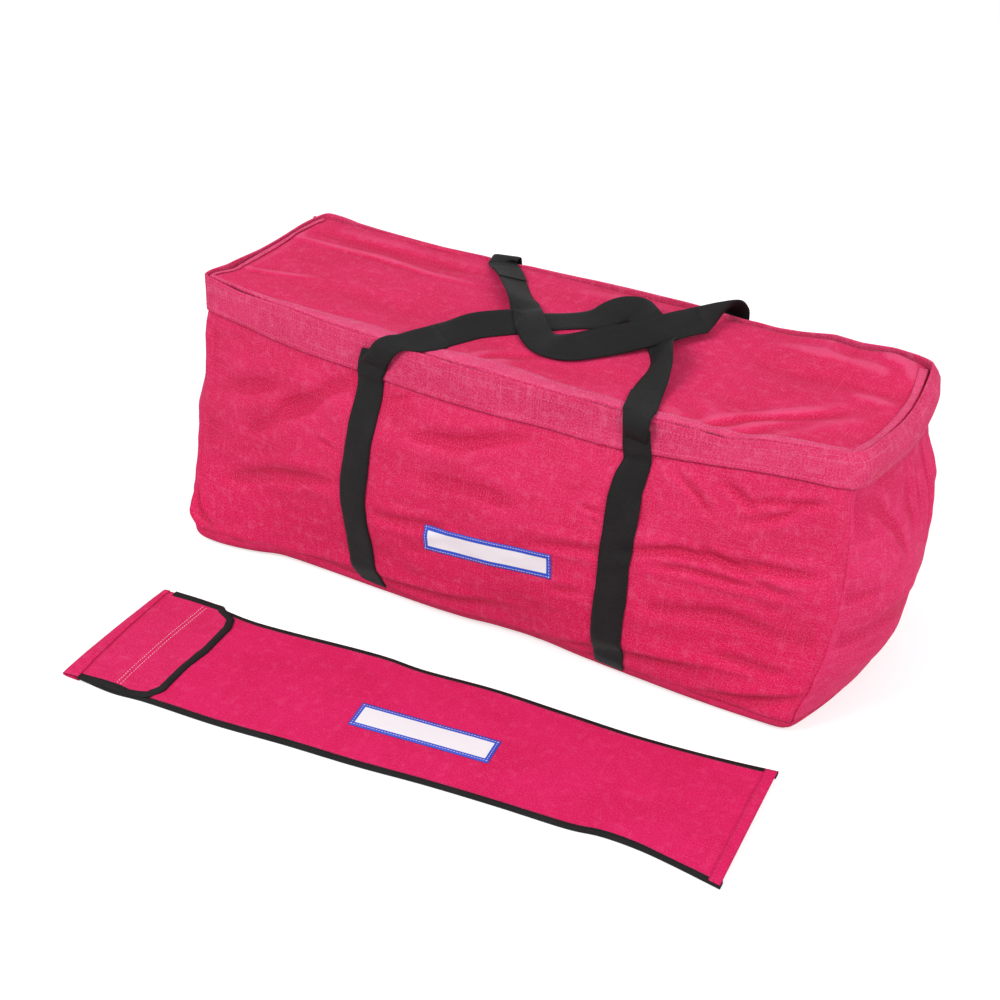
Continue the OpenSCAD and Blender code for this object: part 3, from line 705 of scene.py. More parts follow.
def joined(name: str, parts: list[Piece]) -> Piece:
    """Several objects made into one piece with the first one's materials."""
    with bpy.context.temp_override(active_object=parts[0], object=parts[0], selected_objects=parts,
                                   selected_editable_objects=parts):
        bpy.ops.object.join()
    parts[0].name = name
    return parts[0]


# ----- folds in cloth -----

class FoldKind(Enum):
    """How a fold stands in the cloth."""
    VALLEY = "valley"
    RIDGE = "ridge"
    STEP = "step"


@dataclass(frozen=True)
class Fold:
    """A fold along a short given line.

    Its line is in millimetres over the panel, and its width and depth are in millimetres too. A step
    stands out on the left of the line's direction and is drawn in on its right.
    """
    line: Rows
    width: float
    depth: float
    kind: FoldKind = FoldKind.VALLEY

    def relief(self, u: Array, v: Array) -> Array:
        """How far the fold moves the cloth outwards at cloth places (u, v), in metres."""
        p = np.asarray(self.line, float)*MM
        lengths = np.linalg.norm(np.diff(p, axis=0), axis=1)
        starts = np.concatenate([[0], np.cumsum(lengths)])
        best = np.full(np.shape(u), 1e9)
        signed = np.zeros(np.shape(u))
        place = np.zeros(np.shape(u))
        for a, b, length, start in zip(p, p[1:], lengths, starts):
            du, dv = (b - a)/length
            along = (u - a[0])*du + (v - a[1])*dv
            side = (v - a[1])*du - (u - a[0])*dv
            held = np.clip(along, 0, length)
            gap = np.hypot(along - held, side)
            near = gap < best
            best = np.where(near, gap, best)
            signed = np.where(near, np.where(side < 0, -gap, gap), signed)
            place = np.where(near, (start + held)/starts[-1], place)
        ends = np.sin(math.pi*np.clip(place*0.94 + 0.03, 0, 1))**0.7
        width, depth = self.width*MM, self.depth*MM
        if self.kind is FoldKind.VALLEY:
            return -depth*ends*(bell(best, width) - 0.45*bell(best - 1.7*width, 0.9*width))
        if self.kind is FoldKind.RIDGE:
            return depth*ends*(bell(best, width) - 0.3*bell(best - 1.8*width, width))
        return depth*ends*np.tanh(1.6*signed/width)*bell(best, 2.6*width)


def relief_of(folds: tuple[Fold, ...], u: Array, v: Array) -> Array:
    """All the folds of a panel together."""
    total = np.zeros(np.shape(u))
    for fold in folds:
        total = total + fold.relief(u, v)
    return total


V, R, S = FoldKind.VALLEY, FoldKind.RIDGE, FoldKind.STEP
FRONT_FOLDS = (
    Fold(((-350, 168), (-270, 222), (-182, 283)), 13, 3.4),
    Fold(((-372, 92), (-309, 121), (-240, 140), (-179, 154)), 10, 2.8),
    Fold(((-400, 205), (-330, 232), (-270, 240)), 14, 1.8),
    Fold(((-232, 200), (-182, 190)), 4, 1.0),
    Fold(((-138, 128), (-85, 131), (-29, 142)), 8, 2.8),
    Fold(((-82, 244), (-14, 252), (66, 281)), 10, 3.4),
    Fold(((-129, 273), (-96, 286)), 4, 1.2),
    Fold(((-60, 200), (20, 206), (80, 200)), 12, 1.4),
    Fold(((144, 222), (180, 216)), 4, 1.4),
    Fold(((158, 210), (184, 199)), 4, 1.4),
    Fold(((92, 163), (184, 172), (269, 193), (335, 193), (436, 198)), 7, 3.6),
    Fold(((222, 170), (286, 176), (412, 169)), 6, 2.8),
    Fold(((290, 209), (332, 191), (396, 172)), 5, 2.6),
    Fold(((252, 283), (285, 262), (300, 246)), 5, 1.8),
    Fold(((312, 283), (352, 258)), 5, 1.8),
    Fold(((418, 283), (368, 252), (330, 240)), 6, 2.2),
    Fold(((345, 268), (432, 282)), 5, 2.0),
    Fold(((120, 108), (170, 115)), 6, 1.4),
    Fold(((240, 118), (330, 128), (400, 122)), 9, 2.2),
    Fold(((330, 78), (420, 76)), 7, 2.0),
    Fold(((-290, 14), (-232, 24), (-129, 34), (-40, 44), (56, 60)), 6, 3.2, S),
    Fold(((112, 26), (177, 40), (218, 48), (301, 58), (350, 60)), 6, 3.6, S),
    Fold(((320, 27), (373, 37), (440, 56)), 5, 4.0, S),
    Fold(((-440, 58), (-428, 34), (-404, 14)), 5, 4.0, R),
    Fold(((-428, 62), (-414, 40), (-388, 26)), 4, 3.0),
)
END_FOLDS = (
    Fold(((0, 283), (-17, 243), (-19, 205)), 7, 3.0, R),
    Fold(((40, 283), (36, 230), (10, 176)), 10, 4.0),
    Fold(((78, 283), (84, 235), (70, 190)), 7, 2.6, R),
    Fold(((-96, 276), (-70, 236), (-60, 190)), 9, 2.2),
    Fold(((-110, 150), (-40, 118), (40, 112)), 16, 2.6),
    Fold(((60, 120), (110, 80)), 12, 2.4),
)
REAR_FOLDS = (
    Fold(((-360, 230), (-240, 214), (-130, 232)), 11, 3.0),
    Fold(((-60, 262), (60, 236), (180, 250)), 10, 3.2),
    Fold(((230, 190), (330, 208), (420, 190)), 9, 3.0),
    Fold(((-380, 90), (-250, 112), (-160, 100)), 12, 2.6),
    Fold(((-70, 128), (90, 116), (190, 132)), 10, 2.4),
    Fold(((250, 70), (380, 62)), 9, 2.4),
    Fold(((-420, 44), (-260, 36), (-90, 40)), 6, 3.0, S),
    Fold(((40, 38), (220, 34), (410, 46)), 6, 3.0, S),
)


# ----- the bag's surface -----

class Side(IntEnum):
    """Sides of the bag, counted from the front towards the right."""
    FRONT = 0
    RIGHT = 1
    REAR = 2
    LEFT = 3


@dataclass(frozen=True)
class BagForm:
    """Driving sizes of the filled bag and the rule for its outer surface."""
    base_len: float = 0.864
    base_depth: float = 0.360
    height: float = 0.335
    rim_len: float = 0.896
    rim_depth: float = 0.242
    lean: float = 0.023
    fold_r: float = 0.020
    seam_h: float = 0.018
    band_h: float = 0.036
    low_bow: tuple[float, ...] = (0.018, 0.030, 0.018, 0.030)
    high_bow: tuple[float, ...] = (0.046, 0.013, 0.0, 0.004)
    belly: tuple[float, ...] = (0.022, 0.045, 0.022, 0.045)
    rear_lift: Rows = (
        (-0.448, 7), (-0.42, 5), (-0.385, 1), (-0.33, -1), (-0.23, -2), (-0.15, 0), (0.0, 4), (0.13, 4),
        (0.21, 1), (0.25, 1), (0.285, 5), (0.325, 12), (0.36, 10), (0.40, 14), (0.43, 12), (0.448, 8))
    front_lift: Rows = (
        (-0.45, 6), (-0.42, 5), (-0.38, 4), (-0.345, 5), (-0.29, 7), (-0.20, 6), (-0.15, 7), (-0.05, 8),
        (0.03, 7), (0.085, 4), (0.155, 4), (0.20, -1), (0.235, 1), (0.265, 0), (0.305, -4), (0.345, 2),
        (0.39, 4), (0.45, 6))
    front_sag: Rows = (
        (-0.45, 0), (-0.36, -1), (-0.30, -3), (0.10, -3), (0.20, -4), (0.28, 2), (0.33, 5), (0.40, 6),
        (0.45, 5))
    corner_run: Rows = (
        (0.0, 3), (0.03, 5), (0.06, 14), (0.10, 22), (0.15, 24), (0.20, 20), (0.25, 12), (0.29, 3),
        (0.335, 0))
    fold_gain: float = 1.6
    front_foot: Rows = (
        (-0.45, 24), (-0.405, 30), (-0.38, 28), (-0.35, 22), (-0.32, 13), (-0.295, 2), (-0.26, -2),
        (-0.2, -4), (-0.13, -6), (-0.045, -9), (0.0, -12), (0.03, -17), (0.075, -20), (0.11, -19),
        (0.15, -14), (0.19, -10), (0.237, -7), (0.291, -2), (0.342, 2), (0.43, 5))
    right_shoulder: Rows = (
        (0.0, 0), (0.03, -3), (0.08, -6), (0.14, -5), (0.19, -2), (0.22, 0), (0.25, 2), (0.283, 5),
        (0.297, 9), (0.31, 13), (0.322, 11), (0.33, 5), (0.335, 0))
    left_rim: Rows = (
        (-0.11, 0), (-0.085, 1), (-0.06, 11), (-0.02, 12), (0.034, 15), (0.098, 19), (0.131, 24), (0.15, 28))
    left_lean: Rows = (
        (0.0, 8), (0.03, 2), (0.08, -7), (0.12, -8), (0.16, -3), (0.2, 5), (0.235, 4), (0.262, 2), (0.28, 3),
        (0.297, 6), (0.32, 4), (0.335, 2))

    @property
    def band_z(self) -> float:
        """Height of the lower edge of the rim band."""
        return self.height - self.band_h

    def tuck(self, z: Array, inset: float = 0.0) -> Array:
        """How far the fold round the base draws the surface in at a height."""
        r = self.fold_r
        return np.where(z < r, r - np.sqrt(np.maximum(r*r - (r - z)**2, 0)), 0) + inset

    def half_len(self, z: Array, inset: float = 0.0) -> Array:
        """Half the length between corners at a height."""
        return (self.base_len + (self.rim_len - self.base_len)*z/self.height)/2 - self.tuck(z, inset)

    def half_depth(self, z: Array, inset: float = 0.0) -> Array:
        """Half the depth between corners at a height."""
        return (self.base_depth + (self.rim_depth - self.base_depth)*z/self.height)/2 - self.tuck(z, inset)

    def point(self, side: int, t: Array, z: Array, inset: float = 0.0) -> Array:
        """Points of one side.

        Args:
            side: Which side.
            t: Place along it, from -1 to 1, anticlockwise seen from above.
            z: Height.
            inset: Distance in from the outer surface.

        Returns:
            The points, with a last axis of 3.
        """
        t, z = np.broadcast_arrays(np.asarray(t, float), np.asarray(z, float))
        v = z/self.height
        a, b = self.half_len(z, inset), self.half_depth(z, inset)
        swell = np.sin(math.pi*np.minimum(v/0.9, 1))
        bow = self.low_bow[side] + (self.high_bow[side] - self.low_bow[side])*v + self.belly[side]*swell
        w, lean = bow*(1 - t*t), self.lean*v
        x, y = {
            Side.FRONT: (a*t, lean - b - w), Side.RIGHT: (a + w, lean + b*t),
            Side.REAR: (-a*t, lean + b + w), Side.LEFT: (-a - w, lean - b*t)}[Side(side)]
        return self.settled(x, y, z, v)

    def settled(self, x: Array, y: Array, z: Array, v: Array) -> Array:
        """Points of the plain form moved to where the filled canvas has settled."""
        foot = profile(self.front_foot, x)
        dy = -foot*smooth(-y, 0.02, 0.13)*(1 - smooth(z, 0.0, 0.115))
        shoulder = profile(self.right_shoulder, z)
        dx = shoulder*smooth(x, 0.34, 0.43)*(0.6 + 0.5*smooth(y, -0.09, 0.08) - 0.3*smooth(y, 0.11, 0.15))
        left = smooth(-x, 0.34, 0.43)
        dx = dx + left*profile(self.left_rim, y)*smooth(z, 0.20, 0.325)
        dx = dx + left*profile(self.left_lean, z)*(1 - smooth(y, -0.05, 0.05))
        run = profile(self.corner_run, z)
        dx = dx + run*smooth(x, 0.33, 0.43)*(1 - smooth(y, -0.10, 0.02))
        return stacked(x + dx, y + dy, z + self.lift(x, y, v))

    def lift(self, x: Array, y: Array, v: Array) -> Array:
        """How far the soft rim rises or dips at a place on it, fading out down the walls."""
        rear = profile(self.rear_lift, x)
        share = smooth(y, 0.03, 0.135)*smooth(v, 0.55, 1.0)
        front = profile(self.front_lift, x)*smooth(v, 0.90, 1.0)
        sag = profile(self.front_sag, x)*bell(v - 0.89, 0.07)
        ripple = value_noise(x, y, (0.11, 0.11), 5)*0.0012*smooth(v, 0.6, 1.0)
        return rear*share + (front + sag)*smooth(-y, -0.02, 0.07) + ripple


@dataclass(frozen=True)
class StrapPath:
    """Where the webbing climbs one side, as places (x, z) in millimetres."""
    line: Rows

    def x_at(self, z: Array) -> Array:
        """The strap's middle at a height."""
        p = np.asarray(sorted(self.line, key=lambda q: q[1]), float)*MM
        smooth_line = spline(np.c_[p, np.zeros(len(p))], 0.004)
        return np.interp(z, smooth_line[:, 1], smooth_line[:, 0])


LEFT_FRONT = StrapPath(((-137, 2), (-141, 17), (-149, 45), (-153, 81), (-159, 116), (-162, 151), (-158, 230),
                        (-156, 274), (-157, 300), (-153, 312), (-146, 323), (-134, 336)))
RIGHT_FRONT = StrapPath(((199, 2), (199, 27), (200, 114), (200, 185), (201, 248), (207, 285), (203, 309),
                         (201, 336)))
LEFT_REAR = StrapPath(((-150, 2), (-146, 120), (-138, 230), (-133, 336)))
RIGHT_REAR = StrapPath(((190, 2), (190, 120), (190, 230), (189, 336)))


SKIN_SPACING = 0.0026


class Skin:
    """The bag's outer canvas as one displaced ring of points, from the base seam to the rim."""

    def __init__(self, form: BagForm) -> None:
        """Builds the ring's points and normals on the shape of the filled bag."""
        spacing = SKIN_SPACING
        self.form = form
        self.rows = int((form.height - form.seam_h)/spacing) + 1
        self.z = np.linspace(form.seam_h, form.height, self.rows)
        counts = [int(form.rim_len/spacing), int(form.base_depth/spacing)]*2
        self.first = np.concatenate([[0], np.cumsum(counts)])
        self.side = np.repeat(np.arange(4), counts)
        self.t = np.concatenate([np.arange(n)*2/n - 1 for n in counts])
        base = np.concatenate([form.point(s, self.t[self.side == s][None, :], self.z[:, None])
                               for s in range(4)], 1)
        base = self.rounded(base)
        normal = grid_normals(base, wrap=True)
        relief = self.relief(base)
        self.points = base + normal*relief[..., None]
        # Crease values for painted shade in the folds and under the band, and a painted highlight on crests.
        self.crease = self.fold_shading(relief)
        self.normals = grid_normals(self.points, wrap=True)

    def rounded(self, base: Array) -> Array:
        """base with its four upright corners rounded; the front right one is soft at the top."""
        n = base.shape[1]
        rise = smooth((self.z - self.form.seam_h)/(self.form.height - self.form.seam_h))[:, None]
        low_r = (0.015, 0.010, 0.006, 0.006)
        high_r = (0.004, 0.016, 0.006, 0.005)
        column = np.arange(n)
        for corner in range(4):
            off = np.abs((column - self.first[corner] + n//2) % n - n//2)*SKIN_SPACING
            for size, share in ((low_r[corner], 1 - rise), (high_r[corner], rise)):
                soft = blur_rows(base, size/SKIN_SPACING, 1, wrap=True)
                near = (1 - smooth(off, 1.5*size, 4*size))[None, :]*share
                base = base*(1 - near[..., None]) + soft*near[..., None]
        return base

    def fold_shading(self, relief: Array) -> Array:
        """Where the canvas gets painted highlight and shade: from -1 on a crest to 1 in a crease, and up to
        about 2 in a painted shadow line under the rim band.
        """
        broad = blurred(relief, 9, 11, wrap=True)
        depth = np.clip((broad - relief)/0.0019, -1, 1)
        run = np.arange(relief.shape[1])*SKIN_SPACING
        tight = 0.55 + 0.45*np.clip(line_noise(run, 0.12, 58)*1.5, -1, 1)
        # Painted shadow: a dark line on the wall just under the lower edge of the rim band.
        line = bell(self.z - (self.form.band_z - 0.0012), 0.0020)[:, None]*(0.9 + 1.2*tight[None, :])
        return np.maximum(depth, line)

    def relief(self, p: Array) -> Array:
        """How far folds, seams and straps move each point outwards."""
        x, y, z = np.moveaxis(p, -1, 0)
        total = np.zeros(x.shape)
        lower = 1 - smooth(z, self.form.band_z - 0.004, self.form.band_z + 0.010)
        for side in Side:
            own = self.side == side
            s = {Side.FRONT: x, Side.RIGHT: y - 0.015, Side.REAR: -x, Side.LEFT: 0.015 - y}[side][:, own]
            h = z[:, own]
            folds = {Side.FRONT: FRONT_FOLDS, Side.REAR: REAR_FOLDS}.get(side, END_FOLDS)
            broad = value_noise(s, h, (0.13, 0.055), 11 + side)*2.2
            middle = value_noise(s, h, (0.050, 0.024), 21 + side)*1.0
            fine = value_noise(s + h*0.4, h - s*0.2, (0.024, 0.009), 31 + side)*0.36
            edge = smooth(1 - np.abs(self.t[own]), 0.0, 0.05)[None, :]
            hung = relief_of(folds, s, h)*self.form.fold_gain + (broad + middle + fine)*MM*edge
            total[:, own] = hung*lower[:, own]
            total[:, own] += value_noise(s, h, (0.09, 0.05), 41 + side)*0.8*MM*edge
        for path, facing in ((LEFT_FRONT, Side.FRONT), (RIGHT_FRONT, Side.FRONT),
                             (LEFT_REAR, Side.REAR), (RIGHT_REAR, Side.REAR)):
            own = self.side == facing
            gap = np.abs(x[:, own] - path.x_at(z[:, own]))
            calm = blur_rows(blur_rows(total[:, own], 4, 1), 2.5, 0) - 0.0016
            held = 1 - smooth(gap, 0.019, 0.034)
            total[:, own] = total[:, own]*(1 - held) + calm*held
        n = x.shape[1]
        off = np.min([np.abs((np.arange(n) - c + n//2) % n - n//2) for c in self.first[:4]], 0)*SKIN_SPACING
        crease = 0.0007*(bell(off - 0.004, 0.0035) - 1.2*bell(off, 0.0022))[None, :]
        crease = crease*(1.6 - smooth(z, 0.03, 0.10))
        foot = -0.0022*(1 - smooth(z, self.form.seam_h, self.form.seam_h + 0.007))
        return total + crease*lower + foot

    def columns(self, side: int) -> Array:
        """Column numbers of one side, from corner to corner."""
        start, end = self.first[side], self.first[side + 1]
        return np.arange(start, end + 1) % self.points.shape[1]

    def sample(self, side: int, t: Array, z: Array) -> tuple[Array, Array]:
        """Points and normals of the displaced surface at places on one side."""
        columns = self.columns(side)
        c = np.clip((np.asarray(t) + 1)/2*(len(columns) - 1), 0, len(columns) - 1.001)
        r = np.clip((np.asarray(z) - self.z[0])/(self.z[1] - self.z[0]), 0, self.rows - 1.001)
        c, r = np.broadcast_arrays(c, r)
        i, j = r.astype(int), c.astype(int)
        a, b = (r - i)[..., None], (c - j)[..., None]
        result = []
        for grid in (self.points, self.normals):
            low = grid[i, columns[j]]*(1 - b) + grid[i, columns[j + 1]]*b
            high = grid[i + 1, columns[j]]*(1 - b) + grid[i + 1, columns[j + 1]]*b
            result.append(low*(1 - a) + high*a)
        return result[0], unit(result[1])


@dataclass
class BagBody:
    """Canvas walls, base and rim band of the bag."""
    form: BagForm
    skin: Skin
    canvas_t: float = 0.0022
    base_t: float = 0.0018
    hem_row: int = 2
    hem_gap: float = 0.0014
    base_gap: float = 0.0012
    wall_tuck: float = 0.010
    band_proud: float = 0.0032
    band_t: float = 0.0030

    def wall(self, side: Side, place: str) -> Piece:
        """One sewn wall, running up a little behind the rim band."""
        long = side in (Side.FRONT, Side.REAR)
        columns = self.skin.columns(side)
        top = int(np.searchsorted(self.skin.z, self.form.band_z + self.wall_tuck))
        p = self.skin.points[:top][:, columns]
        u = run_along(p[top//2]) + side*1.7
        uv = stacked(u[None, :], self.skin.z[:top, None])
        name = f"{place}_wall" if long else place
        finish = WALL_CANVAS if long else END_CANVAS
        # The crease values paint shade in the wall's folds and a shadow line under the band.
        piece = sheet_object(f"{name}_canvas", p, uv, [finish, LINING], self.canvas_t,
                             self.skin.crease[:top][:, columns])
        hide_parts(f"{place}_wall")
        return riding(piece, "bag", Slot.CANVAS)

    def base(self) -> Piece:
        """The base, curling up behind the lower edge of the walls."""
        r = self.form.fold_r
        hem = self.hem_row
        top_row = self.skin.points[hem] - self.skin.normals[hem]*self.hem_gap
        rows = [top_row]
        for angle in np.radians([82, 74, 64, 54, 44, 34, 24, 14, 0]):
            z = r*(1 - math.cos(angle))
            ring = blur_rows(self.plain_ring(z), 3.0, 0, wrap=True)
            follow = (top_row - self.plain_ring(self.skin.z[hem]))*min(z/self.form.seam_h, 1)**1.5
            rows.append(ring + follow*[1, 1, 0] - unit(ring*[1, 1, 0])*self.base_gap)
        foot = rows[-1]
        for share in (0.97, 0.9, 0.75, 0.5, 0.25, 0.0):
            flat = foot*[share, share, 0]
            bulge = value_noise(flat[:, 0], flat[:, 1], (0.15, 0.1), 51)*0.4*MM
            rows.append(np.c_[flat[:, :2], np.clip(0.0004 + bulge, 0, 0.001)])
        p = closed(np.stack(rows)[::-1])
        uv = np.stack([p[..., 0], p[..., 1] + p[..., 2]], -1)
        piece = sheet_object("base_canvas", p, uv, [BASE_CANVAS], self.base_t)
        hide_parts("base_panel")
        return riding(piece, "bag", Slot.CANVAS)

    def plain_ring(self, z: float) -> Array:
        """The undisplaced ring at a height."""
        return np.concatenate([self.form.point(s, self.skin.t[self.skin.side == s], z) for s in range(4)])

    def band_surface(self) -> tuple[Array, Array, Array]:
        """Points, normals and heights of the band's outer face."""
        low = int(np.searchsorted(self.skin.z, self.form.band_z - 0.001))
        normal = blur_rows(self.skin.normals[low:], 3, 1, wrap=True)
        calm = blur_rows(self.skin.points[low:], 1.5, 1, wrap=True)
        flat = unit(normal*[1, 1, 0.15])
        return calm + flat*self.band_proud, flat, self.skin.z[low:]

    def band(self) -> Piece:
        """The doubled band round the rim: outer face, rolled top edge and the inner face."""
        face, out, z = self.band_surface()
        n = face.shape[1]
        column = np.arange(n)
        wave = line_noise(column*SKIN_SPACING, 0.07, 61)*0.9*MM
        face = face.copy()
        face[:2, :, 2] += wave[None, :]*np.array([[1.0], [0.6]])
        top = face[-1]
        roll = self.band_t/2
        inward = -unit(out[-1]*[1, 1, 0])
        rows = [face[0] - out[0]*0.0012 + [0, 0, -0.0006]] + list(face)
        for angle in np.radians([30, 60, 90, 120, 150, 180]):
            rows.append(top + inward*roll*(1 - math.cos(angle)) + [0, 0, roll*0.8*math.sin(angle)])
        inner = top + inward*2*roll
        for drop in (0.004, 0.010, 0.016, 0.022):
            rows.append(inner + [0, 0, -drop])
        p = closed(np.stack(rows))
        run, climb = run_along(p[-4]), run_along(p[:, n//4])
        uv = stacked(run[None, :] + 9.0, climb[:, None])
        piece = sheet_object("rim_band_canvas", p, uv, [BAND_CANVAS])
        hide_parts("rim_band")
        rows = [np.concatenate([line, line[:1]]) for line in (face[2:] + out[2:]*0.0002)[[0, -4]]]
        stitches = Stitching("rim_band_stitches", "bag", Slot.BAND, PINK_THREAD).build(rows)
        return riding(piece, "bag", Slot.BAND)

    def seam_stitches(self) -> None:
        """Topstitching beside the four upright seams."""
        skin = self.skin
        top = int(np.searchsorted(skin.z, self.form.band_z)) - 2
        near = [(c - 3) % skin.points.shape[1] for c in skin.first[:4]]
        rows = [skin.points[5:top, c] + skin.normals[5:top, c]*0.0002 for c in near]
        Stitching("corner_seam_stitches", "bag", Slot.CANVAS, SHADE_THREAD).build(rows)

    def build(self) -> None:
        """Makes every piece."""
        for side, place in zip(Side, ("front", "right_end", "rear", "left_end")):
            self.wall(side, place)
        self.base()
        self.band()
        self.seam_stitches()


@dataclass
class SeamTapes:
    """Binding tapes inside the bag, over the base seam and the four upright corner seams."""
    form: BagForm
    skin: Skin
    depth: float = 0.0055
    thickness: float = 0.0008
    half_columns: int = 4

    def build(self) -> None:
        """Makes the ring over the base seam and the four upright tapes."""
        skin = self.skin
        out = unit(blur_rows(skin.normals, 6, 1, wrap=True))
        inner = skin.points - out*self.depth
        ring = closed(inner[1:7])
        uv = stacked(skin.z[1:7, None], run_along(ring[2])[None, :])
        piece = sheet_object("base_seam_tape", ring, uv, [EDGE_TAPE], self.thickness)
        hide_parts("base_seam_binding")
        riding(piece, "bag", Slot.BINDING)
        top = int(np.searchsorted(skin.z, self.form.band_z))
        near = np.arange(-self.half_columns, self.half_columns + 1)
        parts = []
        for corner in skin.first[:4]:
            p = inner[8:top][:, (corner + near) % inner.shape[1]]
            uv = stacked(near[None, :]*SKIN_SPACING, skin.z[8:top, None])
            parts.append(sheet_object(f"corner_tape_{corner}", p, uv, [EDGE_TAPE], self.thickness))
        piece = joined("corner_seam_tapes", parts)
        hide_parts("corner_seam_bindings")
        riding(piece, "bag", Slot.BINDING)


# ----- sewing -----

def stitch_nodes() -> bpy.types.NodeTree:
    """A Geometry Nodes group that lays a short stitch at every step of some lines."""
    name = "stitch_rows"
    if name in bpy.data.node_groups:
        return bpy.data.node_groups[name]
    g, start, end = new_group(
        name, {"Lines": "NodeSocketGeometry", "Pitch": "NodeSocketFloat",
               "Size": "NodeSocketVector", "Thread": "NodeSocketMaterial"},
        {"Stitches": "NodeSocketGeometry"}, "GeometryNodeTree")
    curve = g.add("GeometryNodeMeshToCurve", {"Mesh": start["Lines"]})
    places = g.add("GeometryNodeCurveToPoints", {"Curve": curve.outputs[0], "Length": start["Pitch"]},
                   mode="LENGTH")
    stitch = g.add("GeometryNodeMeshIcoSphere", {"Radius": 1.0, "Subdivisions": 1})
    laid = g.add("GeometryNodeInstanceOnPoints", {
        "Points": places.outputs["Points"], "Instance": stitch.outputs[0],
        "Rotation": places.outputs["Rotation"], "Scale": start["Size"]})
    real = g.add("GeometryNodeRealizeInstances", {0: laid.outputs[0]})
    dressed = g.add("GeometryNodeSetMaterial", {"Geometry": real.outputs[0], "Material": start["Thread"]})
    g.set(end["Stitches"], dressed.outputs[0])
    return g.tree


@dataclass(frozen=True)
class Stitching:
    """Rows of thread on one body of the frame."""
    name: str
    body: str
    slot: Slot
    thread: Thread
    pitch: float = 0.0046
    length: float = 0.0032
    radius: float = 0.00038

    def build(self, lines: list[Array]) -> Piece:
        """Sews along some lines.

        Args:
            lines: Points of each row, in metres.

        Returns:
            The stitches as one plain mesh.
        """
        starts = np.cumsum([0] + [len(line) for line in lines])
        edges = [(a + i, a + i + 1) for a, line in zip(starts, lines) for i in range(len(line) - 1)]
        mesh = bpy.data.meshes.new(f"{self.name}_lines")
        mesh.from_pydata(np.concatenate(lines).tolist(), edges, [])
        rows = placed(mesh.name, mesh)
        change = rows.modifiers.new("stitches", "NODES")
        change.node_group = stitch_nodes()
        items = change.node_group.interface.items_tree
        sockets = {item.name: item.identifier for item in items if item.in_out == "INPUT"}
        change[sockets["Pitch"]] = self.pitch
        change[sockets["Size"]] = (self.radius, self.radius, self.length/2)
        change[sockets["Thread"]] = self.thread.material()
        graph = bpy.context.evaluated_depsgraph_get()
        made = bpy.data.meshes.new_from_object(rows.evaluated_get(graph), depsgraph=graph)
        made.shade_smooth()
        rows.modifiers.clear()
        bpy.data.objects.remove(rows)
        return riding(placed(self.name, made), self.body, self.slot)


def flat_area(x: Array, y: Array) -> float:
    """Area of the flat cut whose grid of places is x and y."""
    ax, ay = np.diff(x, axis=1)[:-1], np.diff(y, axis=1)[:-1]
    bx, by = np.diff(x, axis=0)[:, :-1], np.diff(y, axis=0)[:, :-1]
    return float(np.abs(ax*by - ay*bx).sum())


# ----- webbing -----

@dataclass(frozen=True)
class Web:
    """A flat woven tape with soft edges."""
    width: float = 0.040
    thickness: float = 0.0018
    across_points: int = 11

    def section(self) -> tuple[Array, Array]:
        """Places across the tape from -1 to 1 and through it from 0 to 1, once round."""
        s = np.linspace(-1, 1, self.across_points)
        edge = 0.30*(np.abs(s) > 0.999)
        return np.concatenate([s, s[::-1]]), np.concatenate([edge, 1 - edge])

    def rings(self, centre: Array, across: Array, normal: Array, cup: Array | float = 0.0) -> Array:
        """Rings of points for stations along the tape.

        Args:
            centre: Middle of each station.
            across: Unit vector across the tape at each station.
            normal: Unit vector out of its face.
            cup: How far the edges stand above the middle, for each station.

        Returns:
            Stations by section points by 3.
        """
        s, h = self.section()
        bowl = np.multiply.outer(np.broadcast_to(cup, len(centre)), s*s)
        rise = (h - 0.5)[None, :]*self.thickness + bowl
        return (centre[:, None, :] + across[:, None, :]*(s*self.width/2)[None, :, None]
                + normal[:, None, :]*rise[..., None])

    def across_uv(self) -> Array:
        """Cloth coordinate round the section."""
        s, h = self.section()
        u = s*self.width/2 + np.where(h < 0.5, self.width*1.5, 0)
        return np.append(u, u[0])

    def piece(self, name: str, rings: Array, along: Array, finish: Finish) -> Piece:
        """Rings of the tape as one piece."""
        return swept_object(name, rings, self.across_uv(), along, finish)


